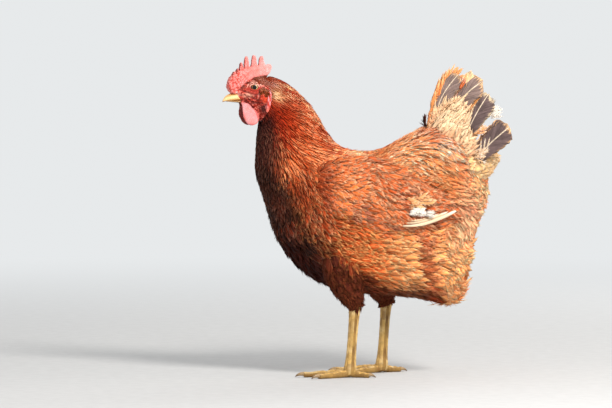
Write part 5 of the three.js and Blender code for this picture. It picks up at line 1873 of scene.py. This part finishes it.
def on_body(points):
    """The nearest section and angle of the body to each point."""
    s, a = np.meshgrid(np.linspace(0.0, 29.8, 170), np.linspace(-math.pi, math.pi, 97)[:-1], indexing="ij")
    s, a = s.ravel(), a.ravel()
    tree = KDTree(len(s))
    for i, q in enumerate(body(s, a, coat_depth(s, a))):
        tree.insert(q, i)
    tree.balance()
    nearest = np.array([tree.find(q)[1] for q in points])
    return s[nearest], a[nearest]


def skin_colours(me):
    """The skin's colours: bare flesh on the head, scales on the feet, darkened between the plates as
    painted shade, and the coat's own markings.
    """
    world, normal = points_of(me), normals_of(me)
    p = straight(world)
    s, a = on_body(world)
    comb, wattle, lobe = head_shares(p)
    flesh = mix(face_colours(p, *eye_distance(p)), comb_colours(p, normal), comb)
    flesh = mix(flesh, wattle_colours(p, normal), wattle)
    flesh = mix(flesh, lobe_colours(p), lobe)
    on_head = (world[:, 2] > 322) & (p[:, 0] < -118)
    start = feather_start(a)
    bare = on_head * np.maximum.reduce([smooth(s, start + 0.5, start - 0.1), comb, wattle, lobe])
    tint = mix(0.5 * plumage(s, a, world, np.full(len(s), 0.5))[0], flesh, bare)
    foot = smooth(world[:, 2], 100.0, 88.0)
    # the feet's skin is darker than its own colour, painted shade in the gaps between the plates
    tint = mix(tint, tone("yellow", "olive", 0.5 + 0.5 * noise(world, 9.0, 22)), foot)
    set_colour(me, "tint", with_alpha(tint, bare * (1 - foot)))


def make_skin(material):
    """All the skin as one closed mesh: head, trunk and legs joined, and the sockets cut out."""
    head = remeshed("skin", head_solid(), HEAD_CELL, 3)
    sculpt_head(head.data)
    relaxed(head.data, 1, 0.35)
    others = [remeshed("skin_trunk", body_solid(), TRUNK_CELL, 4)]
    others += [remeshed(f"skin_leg_{name}", leg_solid(side), LEG_CELL, 3) for name, side in SIDES.items()]
    steps = [("BOOLEAN", dict(operation="UNION", solver="MANIFOLD", object=o)) for o in others]
    for side in SIDES.values():
        socket = loft(turned(eye_frame(side)[0] + ball(40, 56, 0.02) * SOCKET_R))
        others.append(new_object("socket", mesh_of("socket", *facing_out(*socket))))
        steps.append(("BOOLEAN", dict(operation="DIFFERENCE", solver="MANIFOLD", object=others[-1])))
    me = applied(head, *steps)
    for o in others:
        bpy.data.objects.remove(o)
    smooth_faces(me)
    skin_colours(me)
    me.materials.clear()
    me.materials.append(material)
    return head


# ---------------------------------------------------------------- eyes, bill, claws, scales
def make_eye(side_name, material):
    """An eyeball with its cornea, the black pupil and an amber iris with a dark rim, painted lighter
    towards the back as painted light.
    """
    middle, out, back, up = eye_frame(SIDES[side_name])
    t, b = np.linspace(0.0, math.pi, 64), around(72)
    t[0], t[-1] = 0.012, math.pi - 0.012
    swell = -0.55 * np.maximum(1 - (t / 0.75) ** 2, 0) ** 2  # the cornea is flatter than the ball
    radius = (EYE_R + swell)[:, None, None]
    spoke = np.cos(b)[None, :, None] * back + np.sin(b)[None, :, None] * up
    points = middle + (np.cos(t)[:, None, None] * out + np.sin(t)[:, None, None] * spoke) * radius
    r = EYE_R * np.sin(np.minimum(t, 1.6))
    shade = tone("amber", "amber_rim", smooth(r, PUPIL_R + 0.3, IRIS_R))
    shade = tone(shade, "socket", smooth(r, IRIS_R - 0.2, IRIS_R + 0.3))
    rear = b - 0.4  # the iris is painted lighter towards the back, as painted light
    spokes = (1 + 0.22 * np.sin(b * 37) * np.sin(b * 23 + 1)) * (0.75 + 0.35 * np.cos(rear))
    iris = np.where((r > PUPIL_R)[:, None], spokes[None, :], 1.0)[..., None]
    # painted light on the back of the iris
    paler = smooth(np.cos(rear), 0.1, 0.8) * smooth(r, IRIS_R, IRIS_R - 0.5)[:, None]
    tint = tone(shade[:, None, :] + 0 * iris, "amber_light", 0.75 * paler) * iris
    tint = tone(tint, "pupil", smooth(r, PUPIL_R + 0.25, PUPIL_R)[:, None] + 0 * paler)
    return coloured(f"eyeball_{side_name}", facing_out(*loft(turned(points))), tint, material)


def make_bill(name, table, material, upper):
    """One half of the bill, and on the upper one the crest and nostrils. A paler band along each side is a
    painted highlight, and the lower half's darker horn is painted shade.
    """
    x, ridge, edge, half = np.moveaxis(spline(table, np.linspace(0, len(table) - 1, 54)), -1, 0)
    a = around(48)
    middle, reach = (ridge + edge) / 2, (ridge - edge) / 2
    keel = 1 + (0.10 if upper else 0.0) * np.maximum(np.cos(a), 0) ** 6  # the culmen's crest
    x = x[:, None] + 0 * a
    y = np.maximum(half, 0.15)[:, None] * np.sin(a) * (1 - 0.25 * np.cos(a))
    z = middle[:, None] + reach[:, None] * np.cos(a) * keel
    swelling, nostril = (np.exp(-np.hypot((x - x0) / reach_x, (z - z0) / reach_z) ** 2)
                         for x0, z0, reach_x, reach_z in (SWELLING, NOSTRIL))
    if upper:
        y = y * (1 + 0.10 * swelling - 0.32 * nostril)
    solid = facing_out(*loft(turned(np.stack([x, y, z], -1))))
    # the lower half's darker horn is painted shade
    horn, ivory = ("horn", "ivory") if upper else ("lower_horn", "lower_ivory")
    towards_tip = smooth(x, -174.0, -190.0)
    crest = smooth(np.cos(a), 0.35, 0.95)[None, :] * (1 - 0.7 * towards_tip)
    # painted highlight along the middle of each side; the paler tip is the horn's own colour
    painted_highlight_side = smooth(np.abs(np.sin(a)), 0.75, 0.97)[None, :]
    tint = tone(horn, ivory, np.maximum(0.75 * towards_tip, 0.9 * painted_highlight_side))
    tint = tone(tint, "horn_brown", 0.7 * crest * (1.0 if upper else 0.15))
    tint = tone(tint, "horn_brown", 0.5 * smooth(x, -171.0, -166.0))
    if upper:
        tint = tone(tint, "nostril", 0.9 * nostril ** 1.3)
        tint = tone(tint, "horn_brown", 0.7 * smooth(z, 358.6, 357.4))
    return coloured(name, solid, tint, material)


def make_claw(side_name, number, material):
    """One claw, darker towards its tip."""
    rows, end = 26, len(CLAW) - 1
    rings = above_floor(tube(claw(SIDES[side_name], number), 0, end, rows, 24))
    towards_tip = smooth(np.linspace(0, end, rows)[:, None], 0.8, 3.0)
    tint = tone("claw_root", "claw_tip", towards_tip + 0 * rings[..., 0])
    return coloured(f"claw_horn_{side_name}_{number}", facing_out(*loft(rings)), tint, material)


def scute(surface, u0, u1, a_middle, a_half, thick, floor=-math.inf):
    """One horny plate: a curved patch of a leg's surface, thick, with a rounded lower edge."""
    rows, columns = 6, 9
    t = np.linspace(0, 1, rows)[:, None]
    q = np.linspace(-1, 1, columns)[None, :]
    narrow = np.sqrt(1 - 0.45 * smooth(t, 0.5, 1.0) ** 2)
    u = u0 + (u1 - u0) * (t + 0.10 * (1 - q ** 2) * t)
    a = a_middle + a_half * q * narrow
    rise = thick * (0.25 + 0.75 * smooth(t, 0.0, 0.8)) * (1 - 0.6 * np.abs(q) ** 5)
    depths = -rise, 0.35 + 0 * rise
    top, low = (above_floor(surface(u, a, depth), floor).reshape(-1, 3) for depth in depths)
    return facing_out(*sheet_solid(top, low, grid_faces(rows, columns, False)))


def angle_facing(surface, way):
    """The angle, a quarter turn to one side or the other, at which a limb's surface faces that way."""
    quarter = np.array([math.pi / 2, -math.pi / 2])
    return quarter[np.argmax(surface(np.array([3.0, 3.0]), quarter) @ np.array(way))]


def make_scales(side_name, material):
    """The plates round the shank, ring by ring, and along the top of each toe."""
    side = SIDES[side_name]
    leg = shank(side)
    front = angle_facing(leg, (-1.0, 0.0, 0.0))
    solids = []
    for k in range(SHANK_BANDS):
        for along, angle, half, thick in SHANK_PLATES:
            u0, u1 = (SHANK_FROM + SHANK_SPAN * (k + end) / SHANK_BANDS + along for end in (0, OVERLAP))
            solids.append(scute(leg, u0, u1, front + angle, half, thick))
    tip = 2 * KNUCKLES
    for number, (_, length, *_) in TOES.items():
        digit = toe(side, number)
        top = angle_facing(digit, (0.0, 0.0, 1.0))
        count = int(length / TOE_PLATE)
        for k in range(count):
            u0, u1 = (tip * (0.04 + 0.93 * (k + end) / count) for end in (0, OVERLAP))
            solids.append(scute(digit, u0, min(u1, tip - 0.05), top, 0.95, 0.5, floor=0.2))
    rng = np.random.default_rng(91 + side)
    shade = np.concatenate([np.full(len(points), rng.random()) for points, _, _ in solids])
    solid = joined(solids)
    tint = tone("scale", "scale_brown", shade)
    tint = tone(tint, "scale_light", 0.5 * smooth(noise(solid[0], 7.0, 31), 0.0, 0.8))
    scales = coloured(f"leg_scales_{side_name}", solid, tint, material)
    scales.data.set_sharp_from_angle(angle=math.radians(40))
    return scales


# ---------------------------------------------------------------- the bird
def add_piece(ob, slot, *nodes):
    """Puts a piece on the root body, in place of some of the CAD model's nodes. slot is not used."""
    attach(ob, "root")
    if nodes:
        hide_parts(*nodes)


def build():
    """Makes the pieces and their materials."""
    feather = feather_material("contour_feathers", contrast=0.38)
    hackle = feather_material("hackles", barbs=6.0, slant=2.0, shaft_width=0.14, shaft_share=0.7,
                              edge_from=0.75, contrast=0.4)
    quill = feather_material("tail_quills", barbs=26.0, slant=10.0, shaft="shaft", shaft_width=0.03,
                             shaft_share=0.95, edge_from=0.74, contrast=0.6)
    down = feather_material("pale_coverts", barbs=5.0, slant=4.0, shaft_width=0.06, shaft_share=0.4,
                            edge_from=0.4, contrast=0.22)
    horn, leg = horn_material(), leg_material()
    flesh = ["head", "neck", "trunk", "undertail", "comb"]
    for name in SIDES:
        flesh += [f"wattle_{name}", f"earlobe_{name}", f"wing_{name}", f"thigh_{name}", f"shank_{name}"]
        flesh += [f"toe_{name}_{number}" for number in TOES]
    add_piece(make_skin(skin_material()), "comb_skin", *flesh)
    eye = eye_material()
    for name in SIDES:
        add_piece(make_eye(name, eye), "eye", f"eye_{name}")
        add_piece(make_scales(name, leg), "leg_skin")
        for number in TOES:
            add_piece(make_claw(name, number, horn), "claw_horn", f"claw_{name}_{number}")
        add_piece(neck_coat(name, hackle), "hackle")
        add_piece(wing_coat(name, feather), "plumage")
        add_piece(flight_feathers(name, down), "plumage")
        add_piece(thigh_coat(name, feather), "plumage")
        add_piece(tail_coat(name, quill), "tail_feather", f"tail_{name}")
        add_piece(tail_coverts(name, down), "tail_feather")
    add_piece(make_bill("bill_upper", UPPER_BILL, horn, True), "bill_horn", "beak_upper")
    add_piece(make_bill("bill_lower", LOWER_BILL, horn, False), "bill_horn", "beak_lower")
    add_piece(undertail_coat(down), "plumage")
    for piece in TRUNK_PIECES:
        add_piece(trunk_coat(*piece, feather), "plumage")


# ---------------------------------------------------------------- light and camera
# In metres, watts and degrees, apart from the floor's mesh.
BACKDROP = (0.80, 0.82, 0.83)
FILL = 0.78  # the backdrop's light on the bird, as a share of how bright it looks
FLOOR_HALF = 4000.0  # mm
FLOOR_SHADE, FLOOR_FADE = 0.56, (0.45, 2.6)  # its grey, and from where to where it fades
LAMPS = [  # name, place, size and power
    ("key", (0.95, -1.55, 1.6), 0.7, 58.0),
    ("soft", (-1.6, -1.5, 0.9), 1.6, 5.0),
    ("rear", (0.9, 1.8, 1.2), 1.2, 16.0),
]
LAMP_COLOUR = (1.0, 0.965, 0.92)
CAMERA_DISTANCE, FRAME_WIDTH = 8.0, 0.7956
CAMERA_ELEVATION = 3.0
FRAME_MIDDLE, MIDDLE_X = 0.2223, -0.078  # the height and x of the picture's middle


def seen_by_eye(nodes):
    """1 for rays that the camera, a gloss or clear matter sends out, and 0 for the others."""
    path = nodes.add("LightPath").outputs
    shine = nodes.maths("MAXIMUM", path["Is Glossy Ray"], path["Is Transmission Ray"])
    return nodes.maths("MAXIMUM", path["Is Camera Ray"], shine)


def make_floor():
    """A pale floor that fades into the backdrop's colour far from the bird."""
    m = Material("pale_floor")
    at = m.position()
    shade = m.ramp(m.noise(at, 60.0, 4.0), 0.3, 0.7, FLOOR_SHADE - 0.015, FLOOR_SHADE + 0.015)
    m.set(Base_Color=m.grey(shade), Roughness=0.9, Specular_IOR_Level=0.1)
    away = m.add("VectorMath", {0: at, 1: (MIDDLE_X, 0.0, 0.0)}, operation="DISTANCE").outputs["Value"]
    far = m.times(m.ramp(away, *FLOOR_FADE), seen_by_eye(m))
    glow = m.add("Emission", {"Color": (*BACKDROP, 1.0), "Strength": 1.0})
    both = m.add("MixShader", {0: far, 1: m.shader.outputs[0], 2: glow.outputs[0]})
    m.put(m.tree.nodes["Material Output"].inputs["Surface"], both.outputs[0])
    corners = np.array([[-1, -1, 0], [1, -1, 0], [1, 1, 0], [-1, 1, 0]]) * FLOOR_HALF
    mesh = mesh_of("floor", corners, np.array([[0, 1, 2, 3]]), NO_TRIS)
    new_object("floor", mesh, m.material)


def make_world():
    """An even backdrop, whose light on the bird is a little dimmer than it looks."""
    world = bpy.data.worlds.new("studio")
    bpy.context.scene.world = world
    world.use_nodes = True
    nodes = Nodes(world.node_tree)
    background = nodes.tree.nodes["Background"].inputs
    nodes.put(background["Color"], (*BACKDROP, 1.0))
    nodes.put(background["Strength"], nodes.ramp(seen_by_eye(nodes), 0.0, 1.0, FILL, 1.0))


def set_scene():
    """A pale floor, soft light from above her left shoulder and behind, and a distant camera."""
    scene = bpy.context.scene
    make_floor()
    make_world()
    middle = Vector((MIDDLE_X, 0.0, FRAME_MIDDLE))
    for name, where, size, energy in LAMPS:
        lamp = bpy.data.lights.new(name, "AREA")
        lamp.shape = "DISK"
        lamp.size = size
        lamp.energy = energy
        lamp.color = LAMP_COLOUR
        ob = bpy.data.objects.new(name, lamp)
        scene.collection.objects.link(ob)
        ob.location = where
        ob.rotation_euler = (middle - ob.location).to_track_quat("-Z", "Y").to_euler()

    camera = bpy.data.cameras.new("camera")
    camera.sensor_width = 36.0
    camera.lens = CAMERA_DISTANCE * camera.sensor_width / FRAME_WIDTH
    camera.clip_end = 100.0
    ob = bpy.data.objects.new("camera", camera)
    scene.collection.objects.link(ob)
    rise = math.radians(CAMERA_ELEVATION)
    # the picture's middle, as a height along the tilted picture plane
    target = Vector((MIDDLE_X, 0.0, FRAME_MIDDLE / math.cos(rise)))
    ob.location = target + Vector((0, -math.cos(rise), math.sin(rise))) * CAMERA_DISTANCE
    ob.rotation_euler = (math.pi / 2 - rise, 0, 0)
    scene.camera = ob
    scene.view_settings.view_transform = "Standard"


build()
set_scene()
